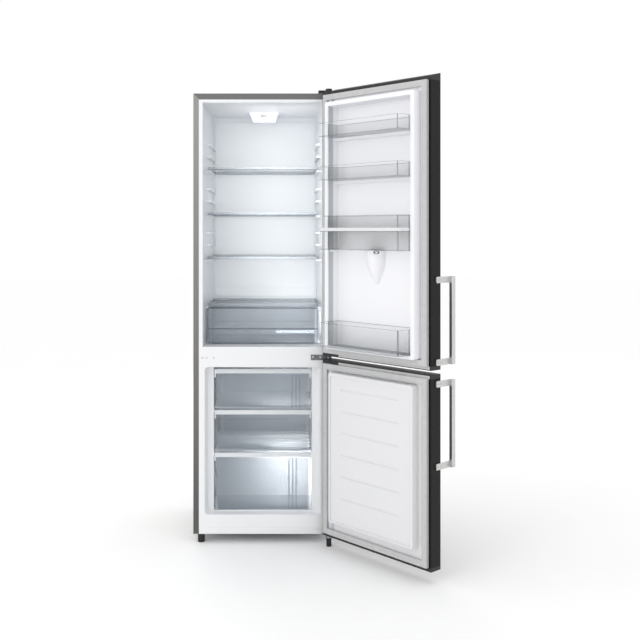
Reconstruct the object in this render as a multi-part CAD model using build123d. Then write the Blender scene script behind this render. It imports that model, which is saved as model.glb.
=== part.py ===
"""Bottom-freezer refrigerator, 550 mm wide and 1800 mm tall, shown with both doors open.

Frame: millimetres, origin at the centre of the cabinet's footprint on the floor, +Z up,
-Y towards the front, +X towards the hinges. Door pieces are drawn with the door shut and
then swung open about the hinge line, which is how the object stands at rest.
"""
from build123d import *
import os

# ------------------------------------------------------------------ the case
cabinet_width = 550.0
cabinet_depth = 490.0  # front flange to rear panel
cabinet_bottom = 37.0
cabinet_top = 1787.0
sheet = 0.6  # painted steel sheet
side_flange = 22.0  # width of the steel band seen from the front
top_flange = 24.0
liner_wall = 1.5  # thermoformed plastic
flange_lap = 9.0  # the liner's rim tucked behind the steel band
fit = 0.3  # gap between a loose piece and its seat
base_sheet = 2.0
kick_height = 26.0
kick_wall = 2.0
kick_depth = 16.0

half = cabinet_width / 2
front = -cabinet_depth / 2
rear = cabinet_depth / 2
inner_half = half - sheet
window_half = half - side_flange
window_top = cabinet_top - top_flange
flange_back = front + sheet + liner_wall
base_top = cabinet_bottom + base_sheet
kick_top = cabinet_bottom + kick_height

# ------------------------------------------------------------------ the two compartments
side_wall = 37.0  # case side to the fridge opening
ceiling_wall = 36.0  # case top to the fridge opening
back_wall = 59.0  # rear panel to the back of both compartments
fridge_floor = 780.0
fridge_draft = 10.0  # how much each side wall closes in by the back
ceiling_drop = 10.0
ceiling_back = 196.0  # length of the level part of the ceiling
beam_height = 80.0  # wall between the two openings
beam_depth = 12.0
freezer_side_wall = 45.0
freezer_sill = 77.0  # case bottom to the freezer opening
freezer_step_depth = 40.0
freezer_step_draft = 10.0
cold_inset = 33.0  # the cavity behind the step is this much narrower each side
cold_margin = 6.0  # and this much lower and higher
opening_radius = 14.0
pad_margin = 8.0  # embossed pad on the back wall
pad_height = 4.0
pad_drop = 31.0

fridge_half = half - side_wall
fridge_back_half = fridge_half - fridge_draft
fridge_top = cabinet_top - ceiling_wall
fridge_depth = cabinet_depth - back_wall
ceiling_z = fridge_top - ceiling_drop
freezer_half = half - freezer_side_wall
freezer_top = fridge_floor - beam_height
freezer_bottom = cabinet_bottom + freezer_sill
cold_half = freezer_half - cold_inset
cold_bottom = freezer_bottom + cold_margin
cold_top = freezer_top - cold_margin
beam_middle = (freezer_top + fridge_floor) / 2

# ------------------------------------------------------------------ compressor bay
bay_depth = 185.0  # open to the rear
bay_height = 235.0
bay_sheet = 1.0
bay_insulation = 48.0  # foam over and in front of the bay
shell_length, shell_width, shell_height = 170.0, 130.0, 150.0
shell_x = -60.0
shell_gap = 20.0  # bay wall to the shell
mount_height = 12.0
mount_radius = 10.0
foot_plate = 3.0
bolt_radius = 3.9
bolt_hole = 4.2
tray_half_x, tray_half_y, tray_height, tray_wall = 95.0, 62.0, 28.0, 2.0
drain_radius = 6.0
drain_wall = 1.5
drain_lift = 14.0  # fridge floor to the middle of the drain
drain_run = 14.0  # back of the fridge space to the middle of the drain's drop
pipe_radius = 3.2
coil_radius = 2.4
coil_runs, coil_pitch = 5, 80.0
coil_margin = 95.0  # rear panel to the first run
coil_room = 0.2
vent_count, vent_pitch, vent_width, vent_half = 4, 30.0, 6.0, 150.0

bay_front = rear - bay_depth
bay_top = cabinet_bottom + bay_height
hump_top = bay_top + bay_insulation
low_back = bay_front - bay_insulation

# ------------------------------------------------------------------ doors
door_gap = 12.2  # cabinet front to the door's inner face, filled by the gasket
door_thick = 55.6
door_corner = 7.0
hinge_inset = 13.0  # hinge line in from the case side
hinge_ahead = 33.2  # hinge line in front of the cabinet front
open_angle = 131.3  # the stop, as in the photograph
upper_door_lift = 11.5  # above the middle of the beam
lower_door_drop = 4.0  # below it
door_top_gap = 1.7
door_bottom_gap = 9.5
cap_height = 14.0
cap_wall = 3.0
cap_crest = 13.7  # rise of the top cap towards its front
cap_notch = 27.0  # flat corner left for the top hinge arm
door_return = 12.0  # steel folded over onto the inner face
gasket_inset = 13.0
gasket_width = 22.0
gasket_clear = 0.4
pin_radius = 4.0
pin_fit = 0.05
pin_reach = 11.0
bush_wall = 3.0

door_inner = front - door_gap
door_front = door_inner - door_thick
hinge_x = half - hinge_inset
hinge_y = front - hinge_ahead
upper_door_bottom = beam_middle + upper_door_lift
upper_door_top = cabinet_top - door_top_gap
lower_door_bottom = cabinet_bottom + door_bottom_gap
lower_door_top = beam_middle - lower_door_drop
gasket_inner_half = half - gasket_inset - gasket_width

# upper door, inner side
dyke_inset = 14.0  # gasket to the raised frame
dyke_lift = 7.0  # fridge floor to the frame
dyke_head = 13.0  # frame to the top of the fridge opening
dyke_sill = 12.7  # the frame's lower bar, which carries the bottle bin
dyke_draft = 3.0
dyke_rise = 35.0
dyke_width = 16.0
dyke_radius = 10.0
recess_depth = 20.0
recess_radius = 2.0
bin_wall = 2.2
bin_reach = 90.0
bin_gap = 1.5
bin_corner = 6.0
bin_ledge = 12.0
top_bin_drop, top_bin_height = 138.0, 52.0
middle_bin_shift, middle_bin_height = 15.0, 53.0
bottle_bin_height, bottle_bin_reach, bottle_bin_corner = 93.0, 94.0, 22.0

dyke_half = gasket_inner_half - dyke_inset
dyke_bottom = fridge_floor + dyke_lift
dyke_top = fridge_top - dyke_head
recess_half = dyke_half - dyke_width
recess_low = dyke_bottom + dyke_sill
recess_high = dyke_top - dyke_width

# water tank and dispenser
niche_bottom = 950.0
niche_half = 70.0
niche_height = 210.0
niche_depth = 22.0
niche_radius = 12.0
bezel_width = 8.0
bezel_thick = 1.2
housing_wall = 1.5
bulge_lift = 94.0  # niche bottom to the lower tip of the bulge
bulge_height = 122.0
bulge_radius, bulge_tip = 42.0, 8.0
tank_gap = 4.0
tank_height = 70.0
tank_corner = 8.0
lid_height = 13.0
guard_height = 58.0
lid_band = 0.8
flap_x = (-52.0, 8.0)
flap_length = 50.0
flap_gap = 0.4
flap_pin = 1.0
flap_pin_lift = 2.4
neck_radius = 9.0
neck_wall = 2.0
neck_gap = 0.6
valve_radius, valve_head_radius = 3.0, 7.0
valve_sink = 8.0  # valve line behind the door's inner face
chute_half, chute_height, chute_wall = 13.0, 26.0, 1.5
chute_lift = 44.0
lever_pin_radius, lever_hub_radius = 2.0, 5.0
lever_ahead = 10.0  # lever pin behind the door's front face
lever_rise = 16.0  # above the chute's floor

niche_top = niche_bottom + niche_height
bulge_low = niche_bottom + bulge_lift
bulge_high = bulge_low + bulge_height
tank_bottom = bulge_high + tank_gap
tank_top = tank_bottom + tank_height
lid_top = tank_top + lid_height
guard_top = tank_top + guard_height
top_bin_low = dyke_top - top_bin_drop
middle_bin_low = (guard_top + top_bin_low) / 2 - middle_bin_shift
bin_levels = {
    "door_bin_top": (top_bin_low, top_bin_low + top_bin_height),
    "door_bin_middle": (middle_bin_low, middle_bin_low + middle_bin_height),
}
bottle_bin_low = dyke_bottom + dyke_sill + fit

# lower door, inner side
plateau_inset = 15.0  # freezer opening to the raised panel
plateau_lift = 3.5
plateau_head = 6.0
plateau_rise = 30.0
plateau_rim = 12.0
plateau_sill = 7.0
plateau_draft = 2.0
plateau_radius = 12.0
plateau_sink = 5.0
groove_first, groove_pitch = 102.5, 83.0
groove_margin = 50.0
groove_inset = 70.0
groove_width = 6.0
groove_depth = 2.0

plateau_half = freezer_half - plateau_inset
plateau_bottom = freezer_bottom + plateau_lift
plateau_top = freezer_top - plateau_head

# handles, fixed to the free end face of each door
handle_length = 313.0
upper_handle_lift = 15.5
lower_handle_drop = 22.5
handle_plate = 6.0
handle_plate_height = 22.5
handle_behind = 33.0  # how far the plate reaches behind the door's front face
handle_off = 8.0
bar_width = 15.0
bar_depth = 18.0
bar_reach = 60.0  # door front to the bar's outer face
handle_screws = (9.0, 24.0)
handle_screw_radius = 3.2

# ------------------------------------------------------------------ inside the fridge
shelf_side_gap = 2.0
shelf_front = 95.0
shelf_back_gap = 7.0
cover_lift = 164.0  # fridge floor to the crisper's glass cover
shelf_rises = {"shelf_lower": 193.0, "shelf_middle": 180.0, "shelf_top": 185.0}
glass_thick = 4.0
glass_sink = 1.5
trim_height = 12.0
trim_depth = 14.0
ledge_width = 8.0
ledge_height = 8.0
ledge_front = 112.0
spare_front = 152.0
spare_step = 50.0  # spare ledges above each shelf
crisper_side_gap = 12.0
crisper_front = 92.0
crisper_back_gap = 13.0
crisper_wall = 2.5
crisper_draft = 4.0
crisper_face = 4.0
crisper_line = 61.0  # groove across the crisper's face
lamp_top_half = 63.0
lamp_bottom_half = 48.0
lamp_height = 31.0
lamp_depth = 120.0
lens_height, lens_back = 7.0, 30.0
dial_radius = 16.0
dial_thick = 9.0
dial_proud = 5.0
dial_lift = 4.0
dial_ribs = 18
spindle_radius = 3.0

shelf_half = fridge_back_half - shelf_side_gap
ledge_half = shelf_half - ledge_width
cover_top = fridge_floor + cover_lift
shelf_levels = {}
for name, rise in shelf_rises.items():
    shelf_levels[name] = (list(shelf_levels.values()) or [cover_top])[-1] + rise
crisper_half = shelf_half - crisper_side_gap
crisper_face_half = shelf_half - 3.0

# ------------------------------------------------------------------ inside the freezer
drawer_front = 42.0
drawer_wall = 2.5
drawer_draft = 4.0
drawer_side_gap = 11.0
rim_side_gap = 3.0
rim_height = 17.0
rim_ear = 17.0
rim_drop = 22.0  # top of a front to the top of its tub
drawer_back_gap = 14.0
front_gap = 2.6
tube_radius = 4.0
tube_shelf_front = 62.0
tube_shelf_back_gap = 15.0
tube_pitch = 32.0
lower_tube_lift = 32.6  # over the hump of the compressor bay
upper_tube_shift = 0.3
rail_width = 2.5  # moulded rail under each tube shelf
rib_insets = (72.0, 60.0, 48.0, 36.0)
rib_width, rib_proud = 3.0, 1.5
grip_drop, grip_height, grip_inset, grip_radius, grip_depth = 85.0, 50.0, 82.0, 16.0, 14.0

drawer_half = cold_half - drawer_side_gap
rim_half = cold_half - rim_side_gap
lower_tube = hump_top + lower_tube_lift
upper_tube = (lower_tube + cold_top) / 2 + upper_tube_shift
tube_levels = (lower_tube, upper_tube)
front_levels = {  # bottom and top of each drawer front
    "freezer_drawer_top": (upper_tube - 0.6, cold_top - 8.0),
    "freezer_drawer_middle": (lower_tube - 0.6, upper_tube - front_gap),
    "freezer_drawer_bottom": (cold_bottom + 1.0, lower_tube - front_gap),
}

# ------------------------------------------------------------------ feet, rollers, hinges and small parts
left_foot_inset = 30.0
left_foot_depth = 25.0
left_foot_radius = 14.0
right_foot_radius = 10.0
foot_bevel, foot_round = 1.2, 5.0
stud_radius = 4.0
stud_reach = 14.0
roller_radius = 16.0
roller_width = 20.0
roller_side_inset = 60.0
roller_inset = 30.0
cheek_gap, cheek_wall, cheek_half, cheek_drop = 0.5, 2.0, 14.0, 9.0
axle_radius = 3.0
hinge_plate = 3.0
arm_half = 11.0
cover_height = 13.0
cover_inset = 53.0
cover_wall = 2.0
middle_plate_inset = 83.0
middle_plate_low, middle_plate_high = -12.0, 9.0  # from the middle of the beam
lower_plate_inset = 44.0
screw_radius = 2.4
screw_head_radius = 4.6
screw_head = 2.0
screw_reach = 12.0
middle_screws = (74.3, 44.5)  # in from the case side
top_screws = ((37.0, 16.0), (13.0, 16.0), (25.0, 42.0))  # in from the side, back from the front
lower_screws = ((31.0, 34.0), (13.0, 34.0), (22.0, 66.0))
plug_radius = 4.0
plug_hole = 2.5
plug_drop = 3.0
plug_insets = (36.6, 52.5, 81.1)
spacer_reach = 8.0
spacer_size = 46.0
spacer_inset = 70.0
spacer_lift, spacer_drop = 248.0, 307.0
parts = {}


def depth(distance):
    """Y of a point that lies the distance behind the cabinet's front flange."""
    return front + distance


def inward(distance):
    """Y of a point that stands the distance proud of the door's inner face."""
    return door_inner + distance


def block(x, y, z):
    """Box between the low and high limits given for each axis."""
    size = [high - low for low, high in (x, y, z)]
    centre = [(low + high) / 2 for low, high in (x, y, z)]
    return Pos(*centre) * Box(*size)


def both(distance):
    """Limits that lie evenly about the middle."""
    return (-distance, distance)


def about(middle, reach):
    """Limits that lie evenly about a value."""
    return (middle - reach, middle + reach)


def upright(x, y, low, high, radius):
    """Round bar that stands along Z."""
    return Pos(x, y, (low + high) / 2) * Cylinder(radius, high - low)


def bar_x(x, y, z, radius):
    """Round bar along X, between the two limits in x."""
    return Pos((x[0] + x[1]) / 2, y, z) * Rot(0, 90, 0) * Cylinder(radius, x[1] - x[0])


def bar_y(x, y, z, radius):
    """Round bar along Y, between the two limits in y."""
    return Pos(x, (y[0] + y[1]) / 2, z) * Rot(90, 0, 0) * Cylinder(radius, y[1] - y[0])


def section(y, half_width, low, high, radius=0.0):
    """Rectangle seen from the front, at one depth."""
    plane = Plane(origin=(0, y, (low + high) / 2), x_dir=(1, 0, 0), z_dir=(0, -1, 0))
    width, height = 2 * half_width, high - low
    if radius > 0:
        return plane * RectangleRounded(width, height, radius)
    return plane * Rectangle(width, height)


def hollow(stations, grow=0.0):
    """Solid that fills a moulded cavity through its stations, or is that much larger all round."""
    solid = None
    for start, end in zip(stations, stations[1:]):
        faces = []
        for index, (y, half_width, low, high, radius) in enumerate((start, end)):
            stretch = grow if end is stations[-1] and index == 1 else 0.0
            corner = radius + grow if radius > 0 else 0.0
            faces.append(section(y + stretch, half_width + grow, low - grow, high + grow, corner))
        piece = loft(faces, ruled=True)
        solid = piece if solid is None else solid + piece
    return solid


def tube(points, radius, bend):
    """Round tube along straight runs joined by arcs."""
    path = FilletPolyline(*points, radius=bend)
    start = Plane(origin=path @ 0, z_dir=path % 0)
    return sweep(start * Circle(radius), path=path)


def swung(shape):
    """Door piece, turned from the shut position to the open stop."""
    return Pos(hinge_x, hinge_y, 0) * Rot(0, 0, open_angle) * Pos(-hinge_x, -hinge_y, 0) * shape


def group(pieces):
    """Separate solids that share one node."""
    solids = []
    for piece in pieces:
        solids.extend(piece.solids())
    return Compound(children=solids)


# ------------------------------------------------------------------ cabinet shell
wrapper = block(both(half), (front, rear), (cabinet_bottom, cabinet_top))
wrapper -= block(both(inner_half), (front + sheet, rear + 1), (0, cabinet_top - sheet))
wrapper -= block(both(window_half), (front - 1, front + 1), (0, window_top))
parts["cabinet_wrapper"] = wrapper

rear_panel_top = cabinet_top - sheet
parts["rear_panel"] = block(both(inner_half), (rear - sheet, rear), (bay_top, rear_panel_top))

# ------------------------------------------------------------------ liners
fridge_back = depth(fridge_depth)
slope_depth = fridge_depth - ceiling_back
slope_draft = fridge_draft * slope_depth / fridge_depth
fridge_stations = (
    (front, fridge_half, fridge_floor, fridge_top, 0.0),
    (depth(slope_depth), fridge_half - slope_draft, fridge_floor, ceiling_z, 0.0),
    (fridge_back, fridge_back_half, fridge_floor, ceiling_z, 0.0),
)
fridge_space = hollow(fridge_stations)
fridge_tub = hollow(fridge_stations, liner_wall)


def ledge_pair(top, y0):
    """Moulded ledges on both side walls of the fridge, running to its back."""
    z = (top - ledge_height, top)
    pieces = block(both(fridge_half + liner_wall / 2), (y0, fridge_back), z)
    return pieces - block(both(ledge_half), (y0 - 1, fridge_back + 1), (z[0] - 1, z[1] + 1))


rim_half_width = window_half + flange_lap
fridge_rim = block(both(rim_half_width), (front + sheet, flange_back), (fridge_floor, window_top + flange_lap))
fridge_rim += block(both(window_half), (front, flange_back), (fridge_floor, window_top))
fridge_liner = (fridge_rim + fridge_tub) - fridge_space
ledges = []
for shelf_z in (*shelf_levels.values(), cover_top):
    ledges.append(ledge_pair(shelf_z - trim_height, depth(ledge_front)))
for shelf_z in shelf_levels.values():
    for step in (1, 2):
        spare_top = shelf_z + step * spare_step
        if spare_top < ceiling_z - ledge_height:
            ledges.append(ledge_pair(spare_top, depth(spare_front)))
for ledge in ledges:
    fridge_liner += ledge & fridge_tub
pad = block(both(fridge_back_half - pad_margin), (fridge_back - pad_height, fridge_back + liner_wall / 2),
            (cover_top + spare_step, fridge_top - pad_drop))
fridge_liner += fillet(pad.edges().filter_by(Axis.Y), opening_radius)
drain_z = fridge_floor + drain_lift
drain_y = fridge_back + drain_run
fridge_liner -= bar_y(0, (fridge_back - 20, drain_y), drain_z, drain_radius)
parts["fridge_liner"] = fridge_liner

step_back = depth(freezer_step_depth)
step_half = freezer_half - freezer_step_draft
mouth_stations = (
    (front, freezer_half, freezer_bottom, freezer_top, opening_radius),
    (step_back, step_half, freezer_bottom + cold_margin / 2, freezer_top - cold_margin / 2, opening_radius),
)
low_stations = (
    (step_back, cold_half, cold_bottom, cold_top, 0.0),
    (low_back, cold_half, cold_bottom, cold_top, 0.0),
)
high_stations = (
    (low_back, cold_half, hump_top + liner_wall, cold_top, 0.0),
    (fridge_back, cold_half, hump_top + liner_wall, cold_top, 0.0),
)
freezer_space = hollow(mouth_stations) + hollow(low_stations) + hollow(high_stations)
freezer_tub = hollow(mouth_stations, liner_wall) + hollow(low_stations, liner_wall)
freezer_tub += hollow(high_stations, liner_wall)
freezer_rim = block(both(rim_half_width), (front + sheet, flange_back), (kick_top, freezer_top))
freezer_rim += block(both(window_half), (front, flange_back), (kick_top, freezer_top))
freezer_liner = (freezer_rim + freezer_tub) - freezer_space
for level in tube_levels:
    rail = block(both(cold_half + liner_wall / 2), (step_back, low_back), (level - ledge_height, level - fit))
    rail -= block(both(cold_half - rail_width), (front, rear), (level - ledge_height - 1, level + 1))
    freezer_liner += rail & freezer_tub
parts["freezer_liner"] = freezer_liner

# ------------------------------------------------------------------ front rails
beam_back = front + beam_depth
beam_lip = fridge_floor - liner_wall
beam_wall = 8.0
mid_beam = block(both(window_half), (front, beam_back), (freezer_top, beam_lip))
mid_beam += block(both(window_half), (front, flange_back), (beam_lip, fridge_floor))
mid_beam -= block(both(window_half - beam_wall), (front + kick_wall, beam_back + 1),
                  (freezer_top + beam_wall, fridge_floor - beam_wall))
mid_beam -= fridge_tub + freezer_tub
plug_z = beam_middle - plug_drop
plug_xs = [plug_inset - half for plug_inset in plug_insets]
for x in plug_xs:
    mid_beam -= bar_y(x, (front - 1, beam_back), plug_z, plug_hole)

kick_plate = block(both(window_half), (front, depth(kick_depth)), (cabinet_bottom, kick_top))
kick_plate -= block(both(window_half - kick_wall), (front + kick_wall, depth(kick_depth) + 4),
                    (base_top, kick_top - kick_wall))
parts["kick_plate"] = kick_plate

# ------------------------------------------------------------------ base and compressor bay
base_plate = block(both(inner_half), (depth(kick_depth), rear - sheet), (cabinet_bottom, base_top))
vent_y = bay_front + vent_pitch + 10
vent = block(both(vent_half), (vent_y, vent_y + vent_width), (0, base_top + 1))
for index in range(vent_count):
    base_plate -= Pos(0, vent_pitch * index, 0) * vent

bay_wall = block(both(inner_half), (bay_front, bay_front + bay_sheet), (base_top, bay_top))
bay_wall += block(both(inner_half), (bay_front, rear), (bay_top - bay_sheet, bay_top))

weld_lip, weld_height = 3.0, 5.0
shell_y = bay_front + bay_sheet + shell_gap + shell_width / 2
shell_low = base_top + mount_height + foot_plate
shell = extrude(RectangleRounded(shell_length, shell_width, shell_width / 2 - 3), shell_height)
shell = fillet(shell.edges().filter_by(Axis.Z, reverse=True).group_by(Axis.Z)[-1], 40)
shell = fillet(shell.edges().group_by(Axis.Z)[0], 24)
weld = RectangleRounded(shell_length + 2 * weld_lip, shell_width + 2 * weld_lip, shell_width / 2)
shell += Pos(0, 0, shell_height * 0.45) * extrude(weld, weld_height)
compressor = Pos(shell_x, shell_y, shell_low) * shell
foot_x, foot_y = shell_length / 2 + 12, shell_width / 2 - 22
mounts, screws = [], []
for sx in (-1, 1):
    reach = sorted((0, sx * (foot_x + 12)))
    compressor += Pos(shell_x, shell_y, shell_low - foot_plate) * block(reach, both(foot_y + 12), (0, foot_plate))
    for sy in (-1, 1):
        x, y = shell_x + sx * foot_x, shell_y + sy * foot_y
        compressor -= upright(x, y, base_top, shell_low + 1, bolt_hole)
        grommet = upright(x, y, base_top, shell_low - foot_plate, mount_radius)
        mounts.append(grommet - upright(x, y, 0, shell_low, bolt_radius + 0.1))
        screws.append(upright(x, y, cabinet_bottom - 3, shell_low + 4, bolt_radius)
                      + upright(x, y, shell_low, shell_low + 4, 8))
        base_plate -= upright(x, y, 0, base_top + 1, bolt_radius + 0.1)
parts["compressor"] = compressor
parts["compressor_mounts"] = group(mounts)
relay_x = shell_x + shell_length / 2
relay_low, relay_size = shell_low + 28, 52.0
relay_box = block((relay_x - 6, relay_x + 34), about(shell_y, relay_size / 2), (relay_low, relay_low + relay_size))
relay_box = fillet(relay_box.edges().filter_by(Axis.X), 6)
parts["compressor_relay_box"] = relay_box - compressor
tray_low = shell_low + shell_height
tray = block(both(tray_half_x), both(tray_half_y), (0, tray_height))
tray = fillet(tray.edges().filter_by(Axis.Z), 12)
tray -= block(both(tray_half_x - tray_wall), both(tray_half_y - tray_wall), (tray_wall, tray_height + 1))
parts["evaporation_tray"] = Pos(shell_x, shell_y, tray_low) * tray

# ------------------------------------------------------------------ cooling circuit
bay_ceiling = bay_top - bay_sheet
outlet_x = shell_x - shell_length / 2 + 2
outlet_z = shell_low + shell_height * 0.62
return_x, return_y = shell_x - 40, shell_y + shell_width / 2
riser_x = outlet_x - 57
pipes = [
    tube([(outlet_x, shell_y, outlet_z), (riser_x, shell_y, outlet_z), (riser_x, shell_y, bay_ceiling)],
         pipe_radius, 20) - compressor,
    tube([(return_x, return_y - 2, outlet_z), (return_x, return_y + 20, outlet_z),
          (return_x, return_y + 20, bay_ceiling)], pipe_radius, 10) - compressor,
]
drier_x, drier_y = relay_x + 85, shell_y + 40
drier_low, drier_high = cabinet_bottom + 83, cabinet_bottom + 168
drier = fillet(upright(drier_x, drier_y, drier_low, drier_high, 8).edges(), 3)
drier += upright(drier_x, drier_y, drier_high - 1, bay_ceiling, pipe_radius)
drier += tube([(drier_x, drier_y, drier_low + 1), (drier_x, drier_y, drier_low - 26),
               (drier_x + 40, drier_y, drier_low - 26), (drier_x + 40, drier_y, bay_ceiling)],
              pipe_radius, 14)
pipes.append(drier)

coil_low, coil_high = bay_top + 60, cabinet_top - 137
coil_first = rear - coil_margin
coil_grooves = []
for side in (-1, 1):
    x = side * (inner_half - coil_radius)
    corners = [(x, coil_first, bay_top)]
    for run in range(coil_runs):
        y = coil_first - run * coil_pitch
        levels = (coil_low, coil_high) if run % 2 == 0 else (coil_high, coil_low)
        corners += [(x, y, level) for level in (levels if run else levels[1:])]
    corners[-1] = (x, corners[-1][1], corners[-1][2] - 40)
    pipes.append(tube(corners, coil_radius, 30))
    groove = sorted((side * inner_half, side * (inner_half - 2 * coil_radius - coil_room)))
    coil_grooves.append(block(groove, (corners[-1][1] - 4, coil_first + 4), (bay_top, coil_high + 4)))
parts["refrigerant_pipes"] = group(pipes)

plate_y = fridge_back + liner_wall
plate_wall, plate_tube, plate_pitch, plate_runs = 1.5, 4.0, 60.0, 6
plate_low, plate_high, plate_half = fridge_floor + 120, fridge_top - 101, fridge_back_half - 48
plate_room = block(both(plate_half), (plate_y, plate_y + 9.4), (plate_low + 10, plate_high - 10))
cold_plate = block(both(plate_half), (plate_y, plate_y + plate_wall), (plate_low, plate_high))
corners = []
for run in range(plate_runs):
    x = plate_pitch * (run - (plate_runs - 1) / 2)
    y = plate_y + plate_wall + plate_tube - 0.2
    ends = (plate_low + 20, plate_high - 20)
    corners += [(x, y, level) for level in (ends if run % 2 == 0 else ends[::-1])]
cold_plate += tube(corners, plate_tube, 24)
evaporators = [cold_plate]
tube_shelf_back = fridge_depth - tube_shelf_back_gap
for level in tube_levels:
    centre = level + tube_radius
    corners = []
    for run in range(int((tube_shelf_back - tube_shelf_front) / tube_pitch) + 1):
        y = depth(tube_shelf_front + tube_radius + run * tube_pitch)
        ends = (-cold_half + 8, cold_half - 8)
        corners += [(x, y, centre) for x in (ends if run % 2 == 0 else ends[::-1])]
    cold_shelf = tube(corners, tube_radius, 13)
    for side in (-1, 1):
        rail = sorted((side * (cold_half - 6.5), side * (cold_half - fit)))
        cold_shelf += block(rail, (depth(tube_shelf_front), depth(tube_shelf_back)),
                            (level, level + 2 * tube_radius))
    evaporators.append(cold_shelf)
parts["evaporators"] = group(evaporators)

drain_route = [(0, fridge_back, drain_z), (0, drain_y, drain_z), (0, drain_y, tray_low + 20)]
drain_hole = tube(drain_route, drain_radius, 8)
parts["drain_tube"] = drain_hole - tube(drain_route, drain_radius - drain_wall, 8)
parts["compressor_bay_wall"] = bay_wall - drain_hole

# ------------------------------------------------------------------ foam
foam = block(both(inner_half), (front + sheet, rear - sheet), (base_top, cabinet_top - sheet))
foam -= block(both(half), (bay_front, rear), (0, bay_top))
foam -= block(both(window_half), (front, depth(kick_depth)), (0, kick_top))
foam -= fridge_rim + freezer_rim
foam -= fridge_tub
foam -= freezer_tub
foam -= mid_beam
foam -= cold_plate
foam -= plate_room
foam -= drain_hole
for groove in coil_grooves:
    foam -= groove

# ------------------------------------------------------------------ feet and rollers
stud_hole = stud_radius + pin_fit
left_foot_x, left_foot_y = left_foot_inset - half, depth(left_foot_depth)
foot_top = cabinet_bottom - fit
left_foot = upright(left_foot_x, left_foot_y, 0, foot_top, left_foot_radius)
left_foot = chamfer(left_foot.edges(), foot_bevel)
left_foot += upright(left_foot_x, left_foot_y, foot_top - 1, base_top + stud_reach, stud_radius)
parts["left_foot"] = left_foot
foam -= upright(left_foot_x, left_foot_y, base_top, base_top + stud_reach + 1, stud_hole)
base_plate -= upright(left_foot_x, left_foot_y, 0, base_top + 1, stud_hole)

bracket_low = cabinet_bottom - hinge_plate
right_foot_top = bracket_low - fit - 2
right_foot = upright(hinge_x, hinge_y, 0, right_foot_top, right_foot_radius)
right_foot = fillet(right_foot.edges().group_by(Axis.Z)[-1], foot_round)
right_foot += upright(hinge_x, hinge_y, right_foot_top - 1, cabinet_bottom + 0.5, stud_radius)
parts["right_foot"] = right_foot

roller_y = rear - roller_inset
axles = []
for name, side in (("left_roller", -1), ("right_roller", 1)):
    x0, x1 = about(side * (half - roller_side_inset), roller_width / 2)
    roller = bar_x((x0, x1), roller_y, roller_radius, roller_radius)
    roller = chamfer(roller.edges(), 1.5)
    parts[name] = roller - bar_x((x0 - 1, x1 + 1), roller_y, roller_radius, axle_radius + pin_fit)
    for x in (x0 - cheek_gap - cheek_wall, x1 + cheek_gap):
        cheek = block((x, x + cheek_wall), about(roller_y, cheek_half), (roller_radius - cheek_drop, cabinet_bottom))
        base_plate += cheek - bar_x((x - 1, x + cheek_wall + 1), roller_y, roller_radius, axle_radius)
    base_plate -= block((x0 - cheek_gap, x1 + cheek_gap), about(roller_y, roller_radius + 2),
                        (cabinet_bottom - 1, base_top + 1))
    axle_over = cheek_gap + 2 * cheek_wall
    axles.append(bar_x((x0 - axle_over, x1 + axle_over), roller_y, roller_radius, axle_radius))
parts["roller_axles"] = group(axles)


# ------------------------------------------------------------------ hinges and their screws
def arm(low, high, anchor_y, half_width):
    """Flat arm from the cabinet to the hinge line, rounded at its free end."""
    plate = block(about(hinge_x, half_width), (hinge_y, anchor_y), (low, high))
    return plate + upright(hinge_x, hinge_y, low, high, half_width)


lower_left = half - lower_plate_inset
lower_bracket = block((lower_left, half), (depth(20), depth(80)), (bracket_low, cabinet_bottom))
lower_bracket += arm(bracket_low, cabinet_bottom, depth(21), arm_half)
lower_bracket += block((lower_left, hinge_x), (depth(-14), depth(20)), (bracket_low, cabinet_bottom))
lower_bracket += upright(hinge_x, hinge_y, cabinet_bottom, lower_door_bottom - fit, 2 * pin_radius)
lower_bracket += upright(hinge_x, hinge_y, cabinet_bottom, lower_door_bottom + pin_reach, pin_radius)
lower_bracket -= upright(hinge_x, hinge_y, 0, cabinet_bottom + 0.8, stud_hole)
for inset, back in lower_screws:
    x, y = half - inset, depth(back)
    hole = upright(x, y, 0, base_top + 1, screw_radius)
    lower_bracket -= hole
    base_plate -= hole
    foam -= upright(x, y, base_top, base_top + 6, screw_radius)
    screws.append(upright(x, y, bracket_low, base_top + 6, screw_radius)
                  + upright(x, y, bracket_low - screw_head, bracket_low, screw_head_radius))
parts["lower_hinge_bracket"] = lower_bracket

plate_z = (beam_middle + middle_plate_low, beam_middle + middle_plate_high)
arm_z = (lower_door_top + upper_door_bottom - hinge_plate) / 2
middle_bracket = block((half - middle_plate_inset, half - 2), (front - hinge_plate, front), plate_z)
middle_bracket += arm(arm_z, arm_z + hinge_plate, front - 1, arm_half)
middle_bracket += upright(hinge_x, hinge_y, lower_door_top + fit, upper_door_bottom - fit, pin_radius + bush_wall)
middle_bracket += upright(hinge_x, hinge_y, lower_door_top - pin_reach, upper_door_bottom + pin_reach,
                          pin_radius)
screw_z = (plate_z[0] + plate_z[1]) / 2 + 2
for inset in middle_screws:
    x = half - inset
    shank = (front - hinge_plate, front + screw_reach)
    hole = bar_y(x, (front - 5, front + 30), screw_z, screw_radius)
    middle_bracket -= hole
    mid_beam -= hole
    foam -= hole & block(both(half), (front, depth(kick_depth)), (0, cabinet_top))
    screws.append(bar_y(x, shank, screw_z, screw_radius)
                  + bar_y(x, (shank[0] - screw_head, shank[0]), screw_z, screw_head_radius))
parts["middle_hinge_bracket"] = middle_bracket
parts["mid_beam"] = mid_beam

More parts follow.
